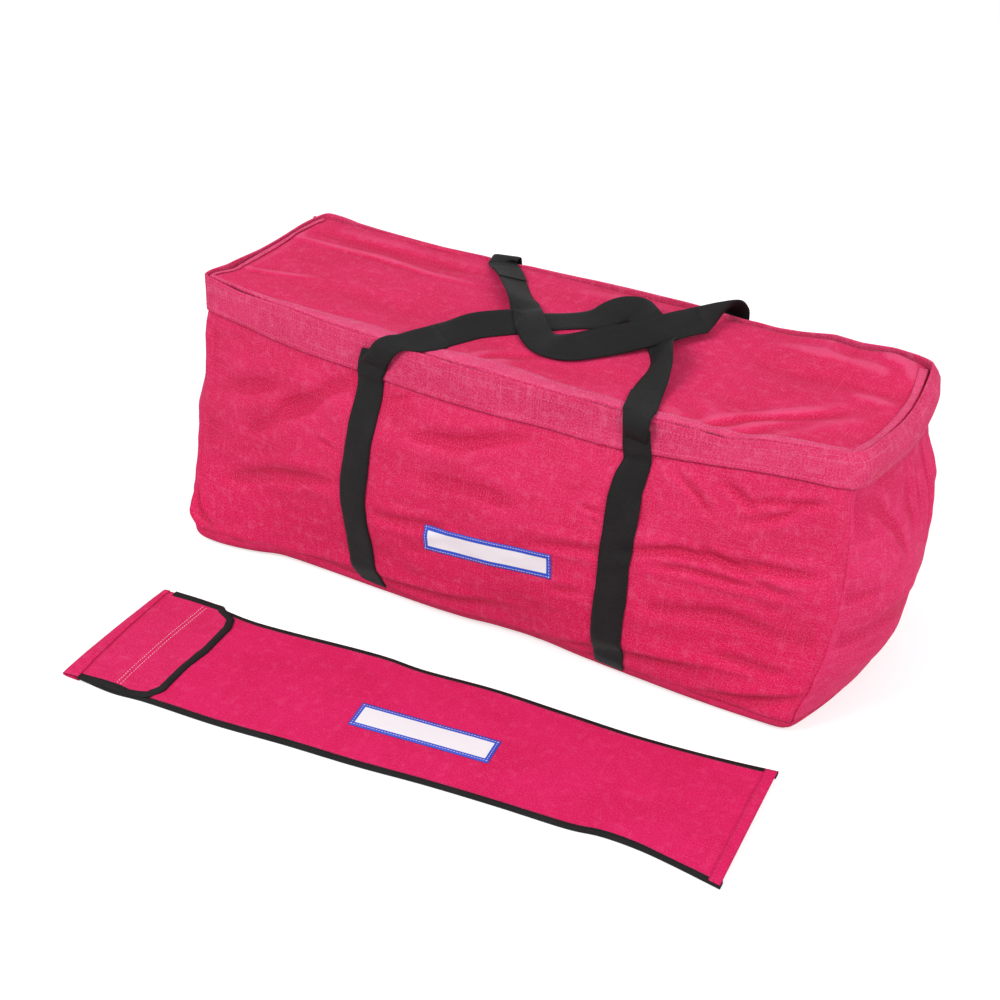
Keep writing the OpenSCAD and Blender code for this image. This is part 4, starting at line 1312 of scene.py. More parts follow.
@dataclass
class GirthStrap:
    """Webbing that climbs the front wall, runs under the base and climbs the rear wall.

    It stops short of the rim, and a pinch draws it in where it crosses the band at the front.
    """
    name: str
    node: str
    front: StrapPath
    rear: StrapPath
    form: BagForm
    skin: Skin
    web: Web = Web(0.0395, 0.0017)
    seed: int = 1
    spacing: float = 0.004
    gap: float = 0.0007
    band_step: float = 0.0034
    short: float = 0.011
    pinch: float = 0.0
    pinch_z: tuple[float, float] = (0.262, 0.295)

    def hug(self, side: Side, x: Array, z: Array) -> tuple[Array, Array]:
        """Points and normals of the bag's surface at places on the front or rear, down to its foot."""
        form = self.form
        sign = 1 if side is Side.FRONT else -1
        held = np.maximum(z, form.seam_h)
        t = sign*x/form.half_len(held)
        point, normal = self.skin.sample(side, t, held)
        foot = form.point(side, t, np.maximum(z, 0)) - form.point(side, t, held)
        low = np.clip((form.fold_r - z)/form.fold_r, 0, 1)
        below = (z < form.seam_h)[..., None]
        curl = unit(normal*[1, 1, 0])*np.sqrt(1 - low*low)[..., None] - np.array([0, 0, 1.0])*low[..., None]
        return np.where(below, point + foot, point), np.where(below, unit(curl), normal)

    def climb(self, side: Side, path: StrapPath) -> tuple[Array, Array]:
        """Inner face and normals of the strap from its foot to the rim on one side."""
        form = self.form
        top = form.height - self.short
        sign = 1 if side is Side.FRONT else -1
        low = form.fold_r*(1 - np.cos(np.radians(np.linspace(4, 80, 8))))
        z = np.concatenate([low, np.arange(form.seam_h, top, self.spacing), [top]])
        x = path.x_at(z) + line_noise(z, 0.045, 70 + self.seed)*0.0012
        slope = np.gradient(x, z)
        slope[z < form.seam_h + self.spacing] = 0
        tilt = np.arctan(slope)
        s = self.web.section()[0][:self.web.across_points]
        half = self.web.width/2*(1 + 0.03*line_noise(z, 0.02, 80 + self.seed))
        half = half*(1 - self.pinch*smooth(z, *self.pinch_z)*(side is Side.FRONT))
        wide = half[:, None]*s[None, :]
        px = x[:, None] + sign*wide*np.cos(tilt)[:, None]
        pz = np.clip(z[:, None] - sign*wide*np.sin(tilt)[:, None], 0, top)
        pz = np.where(z[:, None] < form.seam_h, z[:, None], np.maximum(pz, form.seam_h))
        point, normal = self.hug(side, px, pz)
        band = smooth(pz, form.band_z - 0.010, form.band_z - 0.001)
        kink = line_noise(pz + 0.2*wide, 0.016, 90 + self.seed)*0.0006
        lift = self.gap + band*self.band_step + np.maximum(kink, -0.0002)
        lift = np.where(pz < form.seam_h, -0.0019 + 0.0026*pz/form.seam_h, lift)
        middle = unit(blur_rows(normal, 1.2, 0))
        return point + middle*lift[..., None], middle

    def build(self) -> Piece:
        """Makes the strap as one piece from front rim to rear rim."""
        front, front_out = self.climb(Side.FRONT, self.front)
        rear, rear_out = self.climb(Side.REAR, self.rear)
        span = np.linspace(0, 1, 14)[1:-1, None, None]
        under = front[0][None]*(1 - span) + rear[0][::-1][None]*span
        under[..., 2] = 0.0020
        down = np.broadcast_to([0.0, 0.0, -1.0], under.shape)
        face = np.concatenate([front[::-1], under, rear[:, ::-1]])
        out = np.concatenate([front_out[::-1], down, rear_out[:, ::-1]])
        edge = np.full(face.shape[1], self.web.thickness)
        edge[[0, -1]] *= 0.7
        outer = face + out*edge[None, :, None]
        outer[..., 2] = np.maximum(outer[..., 2], 0.0002)
        rings = np.concatenate([outer, face[:, ::-1]], 1)
        piece = self.web.piece(self.name, rings, run_along(face[:, face.shape[1]//2]), STRAP_WEB)
        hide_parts(self.node)
        return riding(piece, "bag", Slot.WEBBING)


# ----- lid -----

LID_FOLDS = (
    Fold(((-425, 70), (-351, 71), (-294, 74), (-249, 71), (-200, 64), (-135, 64)), 5, 2.6, R),
    Fold(((-440, 96), (-289, 98), (-120, 92)), 12, 2.4),
    Fold(((-436, -44), (-394, -40), (-355, -32), (-320, -20)), 5, 1.9, R),
    Fold(((262, -132), (281, -105), (304, -78), (344, -50), (392, -14)), 7, 3.2),
    Fold(((-31, -141), (-7, -95), (34, -68)), 8, 2.2),
    Fold(((-432, -70), (-428, 20), (-432, 120)), 7, 1.8),
    Fold(((-330, -60), (-240, -40), (-170, -60)), 22, 1.4),
    Fold(((321, -107), (367, -41), (420, 20)), 12, 2.4),
    Fold(((298, -128), (338, -88)), 8, 1.4),
    Fold(((240, 60), (320, 50), (400, 62)), 20, 1.8),
    Fold(((380, 41), (446, 36)), 9, 2.2, R),
    Fold(((259, 108), (314, 104), (372, 102), (420, 96)), 9, 2.2, R),
    Fold(((388, 138), (428, 122), (448, 92)), 10, 4.0, R),
    Fold(((-60, -70), (40, -84), (150, -72)), 20, 1.6),
    Fold(((215, -70), (250, -92), (262, -112)), 14, 1.6),
    Fold(((-20, 112), (60, 122), (140, 116)), 14, 2.4, R),
    Fold(((430, -94), (452, -76)), 4, 2.6),
)


LID_SPACING = 0.003


@dataclass
class LidTop:
    """The lid with its rear roll and the loose strip that covers the zip."""
    form: BagForm
    rim_z: float = 0.333
    gap: float = 0.0032
    inset: float = 0.0022
    rear_share: float = 0.984
    thickness: float = 0.0020
    strip_t: float = 0.0020
    roll_y: float = 0.1382
    roll_z: float = 0.3322
    roll_r: float = 0.0025
    guard_reach: float = 0.0178
    plain_z: float = 0.3338
    lowest_z: float = 0.3306
    highest_z: float = 0.350
    bend: float = 0.030
    edge_drop: float = 0.0022
    guard_width: Rows = (
        (-0.44, 3), (-0.37, 4), (-0.31, 12), (-0.28, 14), (-0.225, 24), (-0.18, 26), (-0.13, 21), (-0.07, 19),
        (-0.015, 29), (0.04, 28), (0.10, 22), (0.20, 16), (0.30, 12), (0.44, 10))

    def edge(self, side: Side, t: Array, inset: float | Array) -> Array:
        """x and y of places along one side of the rim, moved in by an inset."""
        z = np.full(np.shape(t), self.rim_z)
        return self.form.point(side, t, z, inset)[..., :2]

    def patch(self, p: Array, v: Array, inset: float) -> Array:
        """x and y of a grid that fills the rim.

        Args:
            p: Columns, from 0 at the left end to 1 at the right end.
            v: Rows, from 0 at the front to 1 at the rear.
            inset: Distance of its edges inside the bag's outer surface.

        Returns:
            Rows by columns by 2.
        """
        def edge(side: Side, t: Array) -> Array:
            """Places along one side."""
            return self.edge(side, t, inset)

        p, v = np.meshgrid(p, v)
        front, rear = edge(Side.FRONT, 2*p - 1), edge(Side.REAR, 1 - 2*p)
        left, right = edge(Side.LEFT, 1 - 2*v), edge(Side.RIGHT, 2*v - 1)
        q, w = p[..., None], v[..., None]
        corners = ((1 - q)*(1 - w)*edge(Side.FRONT, -1 + 0*p) + q*(1 - w)*edge(Side.FRONT, 1 + 0*p)
                   + (1 - q)*w*edge(Side.REAR, 1 + 0*p) + q*w*edge(Side.REAR, -1 + 0*p))
        return front*(1 - w) + rear*w + left*(1 - q) + right*q - corners

    def height(self, x: Array, y: Array) -> Array:
        """Height of the lid's upper face."""
        x, y = np.broadcast_arrays(np.asarray(x, float), np.asarray(y, float))
        front, rear = profile(self.form.front_lift, x), profile(self.form.rear_lift, x)
        z = self.plain_z + relief_of(LID_FOLDS, x, y) + front*smooth(-y, 0.04, 0.13)
        z = z + 0.85*rear*smooth(y, 0.04, 0.125)
        z = z + value_noise(x, y, (0.10, 0.06), 131)*0.0010 + value_noise(x, y, (0.035, 0.028), 132)*0.0004
        z = z + 0.0030*bell(x - 0.06, 0.22)*bell(y - 0.01, 0.08)
        return np.clip(z, self.lowest_z, self.highest_z)

    def panel(self) -> Piece:
        """The lid's canvas."""
        place = self.patch(np.linspace(0, 1, 330), np.linspace(0, self.rear_share, 96), self.gap + self.inset)
        z = self.height(place[..., 0], place[..., 1])
        edges = (place[:, :1], place[:, -1:], place[:1])
        off = np.min([np.linalg.norm(place - edge, axis=-1) for edge in edges], 0)
        # Crease values for painted shade in the lid's hollows and a painted highlight on its crests.
        broad = blurred(z, 5, 5)
        depth = np.clip((broad - z)/0.0016, -1, 1)
        z = z - self.edge_drop*(1 - smooth(off, 0, 0.004))
        p = np.concatenate([place, z[..., None]], -1)
        piece = sheet_object("lid_canvas", p, place + [4.0, 0.0], [LID_CANVAS, LINING],
                             self.thickness, depth)
        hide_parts("lid_panel")
        seam, flat = (0, self.roll_y - 0.002, self.roll_z), (0, self.roll_y - self.bend, self.roll_z)
        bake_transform(piece)
        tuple(seam)
        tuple(flat)
        return piece

    def three_sides(self, inset: Array) -> Array:
        """Lines round the left end, the front and the right end.

        Args:
            inset: Distance of each line inside the bag's outer surface.

        Returns:
            Insets by columns by 2.
        """
        ends = int(self.form.rim_depth/LID_SPACING)
        front = int(self.form.rim_len/LID_SPACING)
        parts = []
        for side, t in ((Side.LEFT, np.linspace(-0.92, 1, ends)[:-1]),
                        (Side.FRONT, np.linspace(-1, 1, front)[:-1]),
                        (Side.RIGHT, np.linspace(-1, 0.92, ends))):
            parts.append(np.stack([self.edge(side, t, i) for i in inset]))
        return np.concatenate(parts, 1)

    def guard(self) -> Piece:
        """The loose strip of doubled canvas over the zip; it widens along the front towards the right."""
        full = self.guard_reach
        share = np.array([0, 0.0012, 0.0030, 0.0055, 0.009, 0.013, 0.0172, full])/full
        middle = self.three_sides(np.array([self.gap + 0.008]))[0]
        x, y = middle.T
        width = profile(self.guard_width, x)
        at_left = smooth(y, -0.10, -0.06)*(x < -0.40)
        width = width*(1 - at_left) + 0.0075*at_left
        lines = self.three_sides(self.gap + share*full)
        outer, inner = lines[0], lines[-1]
        reach = (width/full)[None, :, None]*share[:, None, None]
        place = outer[None] + (inner - outer)[None]*reach
        z = self.height(place[..., 0], place[..., 1]) + 0.0003 + self.strip_t
        drop = (share*full)[:, None]*np.ones(z.shape)
        z = z - 0.0040*(1 - smooth(drop, 0, 0.0034)) - 0.0007*(share > 0.99)[:, None]
        z = z + value_noise(x, y, (0.05, 0.05), 141)[None, :]*0.0005
        p = np.concatenate([place, z[..., None]], -1)
        run = run_along(middle)
        uv = stacked(run[None, :] + 12.0, drop*width[None, :]/full)
        # Painted shadow along the groove between the rim band and the strip's outer edge.
        painted_groove_shadow = 2*(1 - smooth(drop, 0.0002, 0.0030))
        piece = sheet_object("zip_guard_canvas", p, uv, [GUARD_CANVAS], self.strip_t, painted_groove_shadow)
        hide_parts("lid_zip_guard")
        rows = [p[5] + [0, 0, 0.0003]]
        stitches = Stitching("zip_guard_stitches", "lid", Slot.CANVAS, PINK_THREAD).build(rows)
        return riding(piece, "lid", Slot.CANVAS)

    def roll(self) -> Piece:
        """The rolled seam that joins the lid to the rear rim."""
        half = self.form.rim_len/2 - 0.006
        x = np.arange(-half, half, 0.004)
        angle = np.radians(np.arange(0, 360, 30))
        r = self.roll_r*(1 + 0.06*line_noise(x, 0.03, 151))
        ring = stacked(x[:, None], self.roll_y + r[:, None]*np.cos(angle)[None, :],
                       self.roll_z + r[:, None]*np.sin(angle)[None, :])
        piece = swept_object("rear_seam_roll", ring, np.linspace(0, 0.016, 13), x + 2.0, LID_CANVAS)
        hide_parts("lid_rear_roll")
        return riding(piece, "lid", Slot.CANVAS)

    def build(self) -> None:
        """Makes the lid's pieces."""
        self.panel()
        self.guard()
        self.roll()


@dataclass
class Handle:
    """A webbing handle that lies on the lid.

    Its route has rows of x, y, height over the lid and tilt: millimetres and degrees. A positive tilt
    turns the tape's face to the right of its run, and the height is that of its lower edge.
    """
    name: str
    node: str
    body: str
    route: Rows
    lid: LidTop
    web: Web = Web(0.0385, 0.0017)
    seed: int = 1

    def frames(self) -> tuple[Array, Array, Array]:
        """Middle, across and normal at each station."""
        rows = spline(np.asarray(self.route)*[MM, MM, MM, 1], LID_SPACING)
        x, y, lift, tilt = rows.T
        at = np.arange(len(x))*LID_SPACING
        tilt = np.radians(tilt + 2.5*line_noise(at, 0.03, 100 + self.seed))
        z = self.lid.height(x, y) + lift + self.web.width/2*np.abs(np.sin(tilt))
        z = blur_rows(z, 1.6, 0)
        centre = stacked(x, y, z)
        run = unit(np.gradient(centre, axis=0))
        up = unit(np.array([0, 0, 1.0]) - run*run[:, 2:])
        right = np.cross(run, up)
        c, s = np.cos(tilt)[:, None], np.sin(tilt)[:, None]
        return centre, unit(right*c - up*s), unit(up*c + right*s)

    def build(self) -> Piece:
        """Makes the handle."""
        centre, across, normal = self.frames()
        at = run_along(centre)
        cup = line_noise(at, 0.035, 120 + self.seed)*0.0007
        rings = self.web.rings(centre, across, normal, cup)
        piece = self.web.piece(self.name, rings, at, HANDLE_WEB)
        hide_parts(self.node)
        return riding(piece, self.body, Slot.WEBBING)

    def bent(self, piece: Piece, onto: str) -> Piece:
        """Bakes a turn's placement into its mesh."""
        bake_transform(piece)
        return piece

    def turn(self, name: str, rows: Rows, first: bool = True, length: float = 0.0,
             offset: float = 0.0) -> Piece:
        """The webbing that bends over the rim, from a girth strap to one end of the handle.

        Args:
            name: The piece's name.
            rows: Both edges of the tape at stations from the strap to the lid, in millimetres.
            first: Whether it meets the handle's first end.
            length: How far it lies on along the handle.
            offset: How far it lies above the handle's middle there.

        Returns:
            The piece.
        """
        centre, across, normal = self.frames()
        at = run_along(centre)
        own = at <= length + 1e-6 if first else at >= at[-1] - length - 1e-6
        near, side = centre[own] + normal[own]*offset, across[own]
        if not first:
            near, side = near[::-1], -side[::-1]
        edges = np.asarray(rows, float).reshape(len(rows), 2, 3)*MM
        wide = (edges[:, 1] - edges[:, 0])/self.web.width
        line = spline(np.concatenate([np.c_[edges.mean(1), wide], np.c_[near, side]]), 0.002)
        middle, across = line[:, :3], line[:, 3:]
        normal = unit(np.cross(across, unit(np.gradient(middle, axis=0))))
        rings = self.web.rings(middle, across, normal)
        return self.web.piece(name, rings, run_along(middle), STRAP_WEB)

    def splice(self, name: str, node: str, start: float, length: float = 0.044) -> Piece:
        """The second layer of tape that is sewn over a stretch of the handle."""
        centre, across, normal = self.frames()
        at = run_along(centre)
        own = (at >= start) & (at <= start + length)
        over = Web(self.web.width*0.98, 0.0013)
        offset = (self.web.thickness + over.thickness)/2 + 0.0002
        rings = over.rings(centre[own] + normal[own]*offset, across[own], normal[own])
        piece = over.piece(name, rings, at[own], SPLICE_WEB)
        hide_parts(node)
        return riding(piece, self.body, Slot.WEBBING)


FRONT_ROUTE = (
    (-81, -101, 1.5, 24), (-64, -56, 1.5, 26), (-32, -25, 1.5, 26), (-16, -11, 1.5, 14), (6, 12, 1.5, 4),
    (35.5, 34.5, 1.6, 4), (56, 50, 2, 14), (67, 69, 2, 26), (78, 80, 2, 30), (93, 79, 2, 32),
    (112, 63, 2, 34), (126, 52, 1.6, 28), (138, 41, 1.5, 17), (149, 29, 1.4, 17), (159, 12, 1.2, 35),
    (167, -7, 1.2, 48),
    (175, -26, 1.5, 46), (181, -44, 1.5, 34), (184.5, -66, 1.5, 16), (187, -86, 1.8, 3),
    (192.5, -108, 2.4, 0), (198, -128, 3.4, 0))
REAR_ROUTE = (
    (-134, 133, 2.6, 0), (-123, 121, 2.2, -4), (-104, 101, 2.0, -12), (-80, 73, 2.0, -22),
    (-57, 46, 3.6, -24), (-39, 26, 7.5, -8), (-22, 3, 8.5, 8), (-3, -21, 5.5, 14), (18, -40, 3, 14),
    (39, -50, 2.4, 20),
    (64, -48, 2.4, 30), (87, -29, 2.4, 36), (112.5, -2, 3.5, 38), (134.5, 24, 6.5, 34), (152, 46, 9.5, 30),
    (165, 64.5, 10, 31), (177, 81, 9, 33))
LEFT_FRONT_TURN = (
    (-169, -147.6, 314, -131, -148.2, 310), (-162, -150.4, 324, -127, -151.2, 319),
    (-154, -149.6, 335, -121.5, -151, 328), (-149, -146, 343, -115.5, -150, 336.5),
    (-144, -140, 347, -107.5, -148.6, 342.3), (-136.5, -134, 349.5, -98.5, -147, 344.6),
    (-126, -129, 351.5, -89, -144.2, 344.8), (-113.5, -117.5, 355, -77, -134, 344.4),
    (-100.5, -106, 358, -67.5, -121.5, 343.4))
RIGHT_FRONT_TURN = (
    (187.5, -143.8, 312, 217.5, -144.6, 310), (187, -146.2, 321, 218.5, -146.8, 319),
    (186, -145, 331, 219.5, -145.8, 329.5), (183.5, -140.5, 337.4, 219.5, -142.5, 337),
    (180.5, -134.5, 339.2, 218, -137, 339))
LEFT_REAR_TURN = (
    (-114.5, 148.6, 324, -152.5, 148.6, 322), (-114.5, 151.4, 333, -152.5, 151.2, 330),
    (-114.8, 150.4, 342, -152.8, 150.2, 338), (-115, 146, 344.4, -153, 145.5, 341),
    (-115, 140, 342, -153, 140, 340.6))
RIGHT_REAR_TURN = (
    (172, 148.6, 326, 209, 148.6, 322), (174, 151.2, 336, 210.5, 151, 331),
    (176, 149.5, 342.5, 211.5, 150, 341), (179, 145, 344.5, 211, 146.5, 353),
    (182, 135, 346, 203, 139.5, 364.8), (188, 104, 346.5, 184.5, 124, 365.2))


@dataclass
class WallLabel:
    """The plain label sewn to the front wall."""
    form: BagForm
    skin: Skin
    centre: tuple[float, float] = (0.0355, 0.1293)
    size: tuple[float, float] = (0.176, 0.032)
    turn: float = math.radians(4.6)
    thickness: float = 0.0007

    def build(self) -> Piece:
        """Makes the label so that it follows the wall."""
        u = np.linspace(-self.size[0]/2, self.size[0]/2, 70)
        v = np.linspace(-self.size[1]/2, self.size[1]/2, 16)
        u, v = np.meshgrid(u, v)
        x, z = turned(self.centre, u, v, self.turn)
        point, normal = self.skin.sample(Side.FRONT, x/self.form.half_len(z), z)
        p = point + unit(blurred(normal, 2, 2))*(0.0002 + self.thickness)
        label = PlainLabel("wall_label_print", self.size)
        piece = sheet_object("front_wall_label", p, stacked(u, v), [label], self.thickness)
        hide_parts("front_label")
        lines = [line + [0, -0.0002, 0.0001] for line in border(p)]
        Stitching("front_label_stitches", "bag", Slot.LABEL, WHITE_THREAD, pitch=0.0036).build(lines)
        return riding(piece, "bag", Slot.LABEL)


# ----- pouch -----

POUCH_SPACING = 0.004
POUCH_SEAM = 0.0012


@dataclass(frozen=True)
class PouchForm:
    """Shape of the flat pouch, in its own frame: x along it from its mouth, y across it."""
    origin: tuple[float, float] = (0.044, -0.384)
    turn: float = math.radians(5)
    near: Rows = (
        (-434, -90), (-406, -96), (-350, -102), (-300, -99), (-204, -99), (-112, -94), (-22, -91), (64, -85),
        (150, -82), (233, -81), (272, -76), (312, -77), (354, -83), (420, -96))
    rear: Rows = (
        (-434, 88), (-410, 92), (-385, 97), (-330, 94), (-274, 88), (-223, 89), (-126, 95), (-78, 96),
        (-28, 93), (64, 97), (156, 94), (246, 91), (330, 94), (420, 103))
    mouth_x: float = -0.390
    fold_x: float = -0.398
    end_x: float = 0.4125
    edge_z: float = 0.0030
    room: float = 0.0050

    def edges(self, x: Array) -> tuple[Array, Array]:
        """y of the near and the rear edge."""
        found = []
        for row in (self.near, self.rear):
            p = spline(np.c_[np.asarray(row, float)*MM, np.zeros(len(row))], POUCH_SPACING)
            found.append(np.interp(x, p[:, 0], p[:, 1]))
        return found[0], found[1]

    def top(self, x: Array, y: Array) -> Array:
        """Height of the front panel's upper face."""
        near, rear = self.edges(x)
        s = np.clip((y - near)/(rear - near), 0, 1)
        body = np.sin(math.pi*s)**0.8
        wave = value_noise(x, y, (0.16, 0.09), 161)*0.0012 + value_noise(x, y, (0.05, 0.04), 162)*0.0004
        bend = 0.0030*bell(x - 0.352 - 0.25*(y + 0.08), 0.016)*smooth(-y, -0.02, 0.07)
        return self.edge_z + body*(self.room*0.75 + wave) + bend*np.minimum(body*2, 1)

    def world(self, x: Array, y: Array, z: Array) -> Array:
        """Points in the shared frame."""
        c, s = math.cos(self.turn), math.sin(self.turn)
        return stacked(self.origin[0] + c*x - s*y, self.origin[1] + s*x + c*y, z)


@dataclass
class Pouch:
    """The pouch: two panels, bindings, hems, label and flap."""
    form: PouchForm = PouchForm()
    cloth_t: float = 0.0013
    tape_w: float = 0.0092
    tape_t: float = 0.0009
    flap_lift: float = 0.0034
    back_z: float = 0.0024
    underside: float = 0.0011
    label_t: float = 0.0007
    flap_root: float = -0.36
    corner_r: float = 0.006
    free_edge: Rows = (
        (-319, -101), (-302, -95), (-289, -78), (-288, -30), (-283, 6), (-284, 61), (-291, 78), (-308, 90))

    def grid(self, low: float, high: float, rows: int, inset: float = POUCH_SEAM) -> tuple[Array, Array]:
        """x and y of a grid between two places along the pouch, edge to edge."""
        x = np.linspace(low, high, int((high - low)/POUCH_SPACING) + 2)
        near, rear = self.form.edges(x)
        v = np.linspace(0, 1, rows)[:, None]
        return np.broadcast_to(x, (rows, len(x))), (near + inset)*(1 - v) + (rear - inset)*v

    def cloth(self, name: str, node: str, x: Array, y: Array, z: Array, finish: Finish = POUCH_CANVAS,
              body: str = "pouch") -> Piece:
        """One panel of pouch canvas."""
        p = self.form.world(x, y, z)
        piece = sheet_object(name, p, stacked(x, y), [finish], self.cloth_t)
        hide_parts(node)
        return riding(piece, body, Slot.POUCH)

    def laid(self, piece: Piece, x: Array, y: Array, below: str, *on: Piece) -> None:
        """Works out the size and flat area of the cut for the grid of places x and y, and keeps neither."""
        cut = (float(np.ptp(y)), float(np.ptp(x)))
        flat_area(x, y)

    def tape(self, name: str, x: Array, y: Array, high: Array, low: Array, inward: Array) -> Piece:
        """Binding tape folded round an edge.

        Args:
            name: Piece name.
            x: Places of the edge.
            y: Places of the edge.
            high: Height of the cloth's upper face there.
            low: Height of its lower face there.
            inward: Unit vector into the cloth, in the pouch's frame.

        Returns:
            The tape.
        """
        w, t = self.tape_w, self.tape_t
        out = -0.0007
        section = [(w, 1, t), (w*0.35, 1, t*1.1), (out*0.4, 1, t*0.7), (out, 0.5, 0), (out*0.4, 0, -t*0.7),
                   (w*0.35, 0, -t), (w, 0, -t), (w, 0, -0.0001), (w*0.1, 0, -0.0001), (0.0003, 0.5, 0),
                   (w*0.1, 1, 0.0001), (w, 1, 0.0001)]
        rows = []
        fray = 1 + 0.07*line_noise(x + y, 0.02, 171)
        for off, level, add in section:
            px, py = x + inward[:, 0]*off*fray, y + inward[:, 1]*off*fray
            rows.append(self.form.world(px, py, np.maximum(low + (high - low)*level + add, 0.0001)))
        rings = np.stack(rows, 1)
        across = np.linspace(0, 0.03, len(section) + 1)
        run = run_along(stacked(x, y, x*0))
        return swept_object(name, rings, across, run, EDGE_TAPE)

    def panels(self) -> None:
        """Back and front panels with their hems."""
        form = self.form
        x, y = self.grid(form.fold_x, form.end_x, 30)
        back = self.cloth("pouch_back_canvas", "pouch_back_panel", x, y, np.full(x.shape, self.back_z))
        self.laid(back, x, y, "studio_floor")
        x, y = self.grid(form.end_x - 0.013, form.end_x + 0.0008, 60)
        hem = self.cloth("pouch_end_turning", "pouch_end_hem", x, y, form.top(x, y) + 0.0017)
        x, y = x[:, 1], y[:, 1]
        row = form.world(x, y, form.top(x, y) + 0.0019)
        thread = Stitching("pouch_hem_stitches", "pouch", Slot.POUCH, SHADE_THREAD).build([row])
        x, y = self.grid(form.mouth_x, form.mouth_x + 0.018, 60, 0.010)
        mouth = self.cloth("pouch_mouth_turning", "pouch_mouth_hem", x, y, form.top(x, y) + 0.0016)
        x, y = self.grid(form.mouth_x, form.end_x, 60)
        front = self.cloth("pouch_front_canvas", "pouch_front_panel", x, y, form.top(x, y) + 0.0008)
        self.laid(front, x, y, "pouch_back_canvas", hem, thread, mouth)

    def bindings(self) -> None:
        """Tapes on both long edges."""
        x = np.arange(self.form.fold_x, self.form.end_x + 0.005, POUCH_SPACING)
        near, rear = self.form.edges(x)
        for name, node, y, sign in (("near_edge_tape", "pouch_front_binding", near, 1),
                                    ("rear_edge_tape", "pouch_rear_binding", rear, -1)):
            inward = np.broadcast_to([0.0, float(sign)], (len(x), 2))
            high = self.form.top(x, y + sign*0.004)
            low = np.full(len(x), self.underside)
            piece = self.tape(name, x[::sign], y[::sign], high[::sign], low, inward)
            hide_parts(node)
            riding(piece, "pouch", Slot.BINDING)
            row = self.form.world(x, y + sign*0.0068, high + self.tape_t + 0.0001)
            Stitching(f"{name}_stitches", "pouch", Slot.BINDING, BLACK_THREAD).build([row])

    def label(self) -> None:
        """The plain label on the front panel."""
        size = (0.177, 0.040)
        u, v = np.meshgrid(np.linspace(-size[0]/2, size[0]/2, 60), np.linspace(-size[1]/2, size[1]/2, 14))
        x, y = turned((0.026, -0.013), u, v, math.radians(2.3))
        p = self.form.world(x, y, self.form.top(x, y) + 0.0017)
        label = PlainLabel("pouch_label_print", size)
        piece = sheet_object("pouch_front_label", p, stacked(u, v), [label], self.label_t)
        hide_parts("pouch_label")
        riding(piece, "pouch", Slot.LABEL)
        lines = [line + [0, 0, 0.0002] for line in border(p)]
        Stitching("pouch_label_stitches", "pouch", Slot.LABEL, WHITE_THREAD, pitch=0.0036).build(lines)

    def flap_z(self, x: Array, y: Array) -> Array:
        """Height of the flap's upper face; its free edge lies a little lower."""
        ease = 0.0010*smooth(x, -0.36, -0.315)
        ripple = value_noise(x, y, (0.05, 0.05), 181)*0.0006
        return self.form.top(x, y) + self.flap_lift - ease + ripple

    def free_x(self, y: Array) -> Array:
        """x of the flap's free edge, with its rounded corners."""
        p = np.asarray(self.free_edge, float)*MM
        line = np.interp(y, p[:, 1], p[:, 0])
        near, rear = self.form.edges(line)
        corner = np.minimum(y - near, rear - y)
        r = self.corner_r
        return line - (r - np.sqrt(np.maximum(r*r - np.maximum(r - corner, 0)**2, 0)))

    def flap(self) -> None:
        """The flap with its fold, its tapes and its hook strip."""
        form = self.form
        v = np.linspace(0.006, 0.994, 44)
        start = form.fold_x
        near, rear = form.edges(np.full(v.shape, self.flap_root))
        y = (near + POUCH_SEAM)*(1 - v) + (rear - POUCH_SEAM)*v
        end = self.free_x(y) - POUCH_SEAM
        share = np.linspace(0, 1, 26)
        x = start + (end - start)[:, None]*share[None, :]
        y = np.broadcast_to(y[:, None], x.shape)
        cover = self.cloth("flap_canvas", "flap_panel", x, y, self.flap_z(x, y), FLAP_CANVAS, "pouch_flap")
        across = np.linspace(-0.088, 0.082, 60)
        rows = []
        for shift in (0.0, 0.0055):
            at = -0.3445 + shift + 0.045*across
            rows.append(form.world(at, across, self.flap_z(at, across) + 0.0002))
        thread = Stitching("flap_stitches", "pouch_flap", Slot.POUCH, WHITE_THREAD, pitch=0.0040).build(rows)
        self.laid(cover, x, y, "pouch_front_canvas", thread)
        turns = np.radians(np.linspace(0, 180, 13))
        rows = y[:, 0]
        high = self.flap_z(np.full(rows.shape, start), rows)
        low = self.underside
        reach = np.interp(rows, [-0.092, 0.088], [0.0225, 0.0100])[:, None]
        fx = start - reach*np.sin(turns)[None, :]**0.8
        fz = (high + low)[:, None]/2 - (high - low)[:, None]/2*np.cos(turns)[None, :]
        p = form.world(fx, rows[:, None], fz)[:, ::-1]
        uv = stacked(start - 0.03*np.linspace(0, 1, 13)[None, :], rows[:, None])
        fold = sheet_object("flap_fold_canvas", p, uv, [FLAP_CANVAS], self.cloth_t)
        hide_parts("flap_fold")
        back, hinge = form.world(start - 0.010, 0.0, 0.0012), form.world(start - 0.0004, 0.0, 0.0070)
        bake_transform(fold)
        self.flap_tapes()

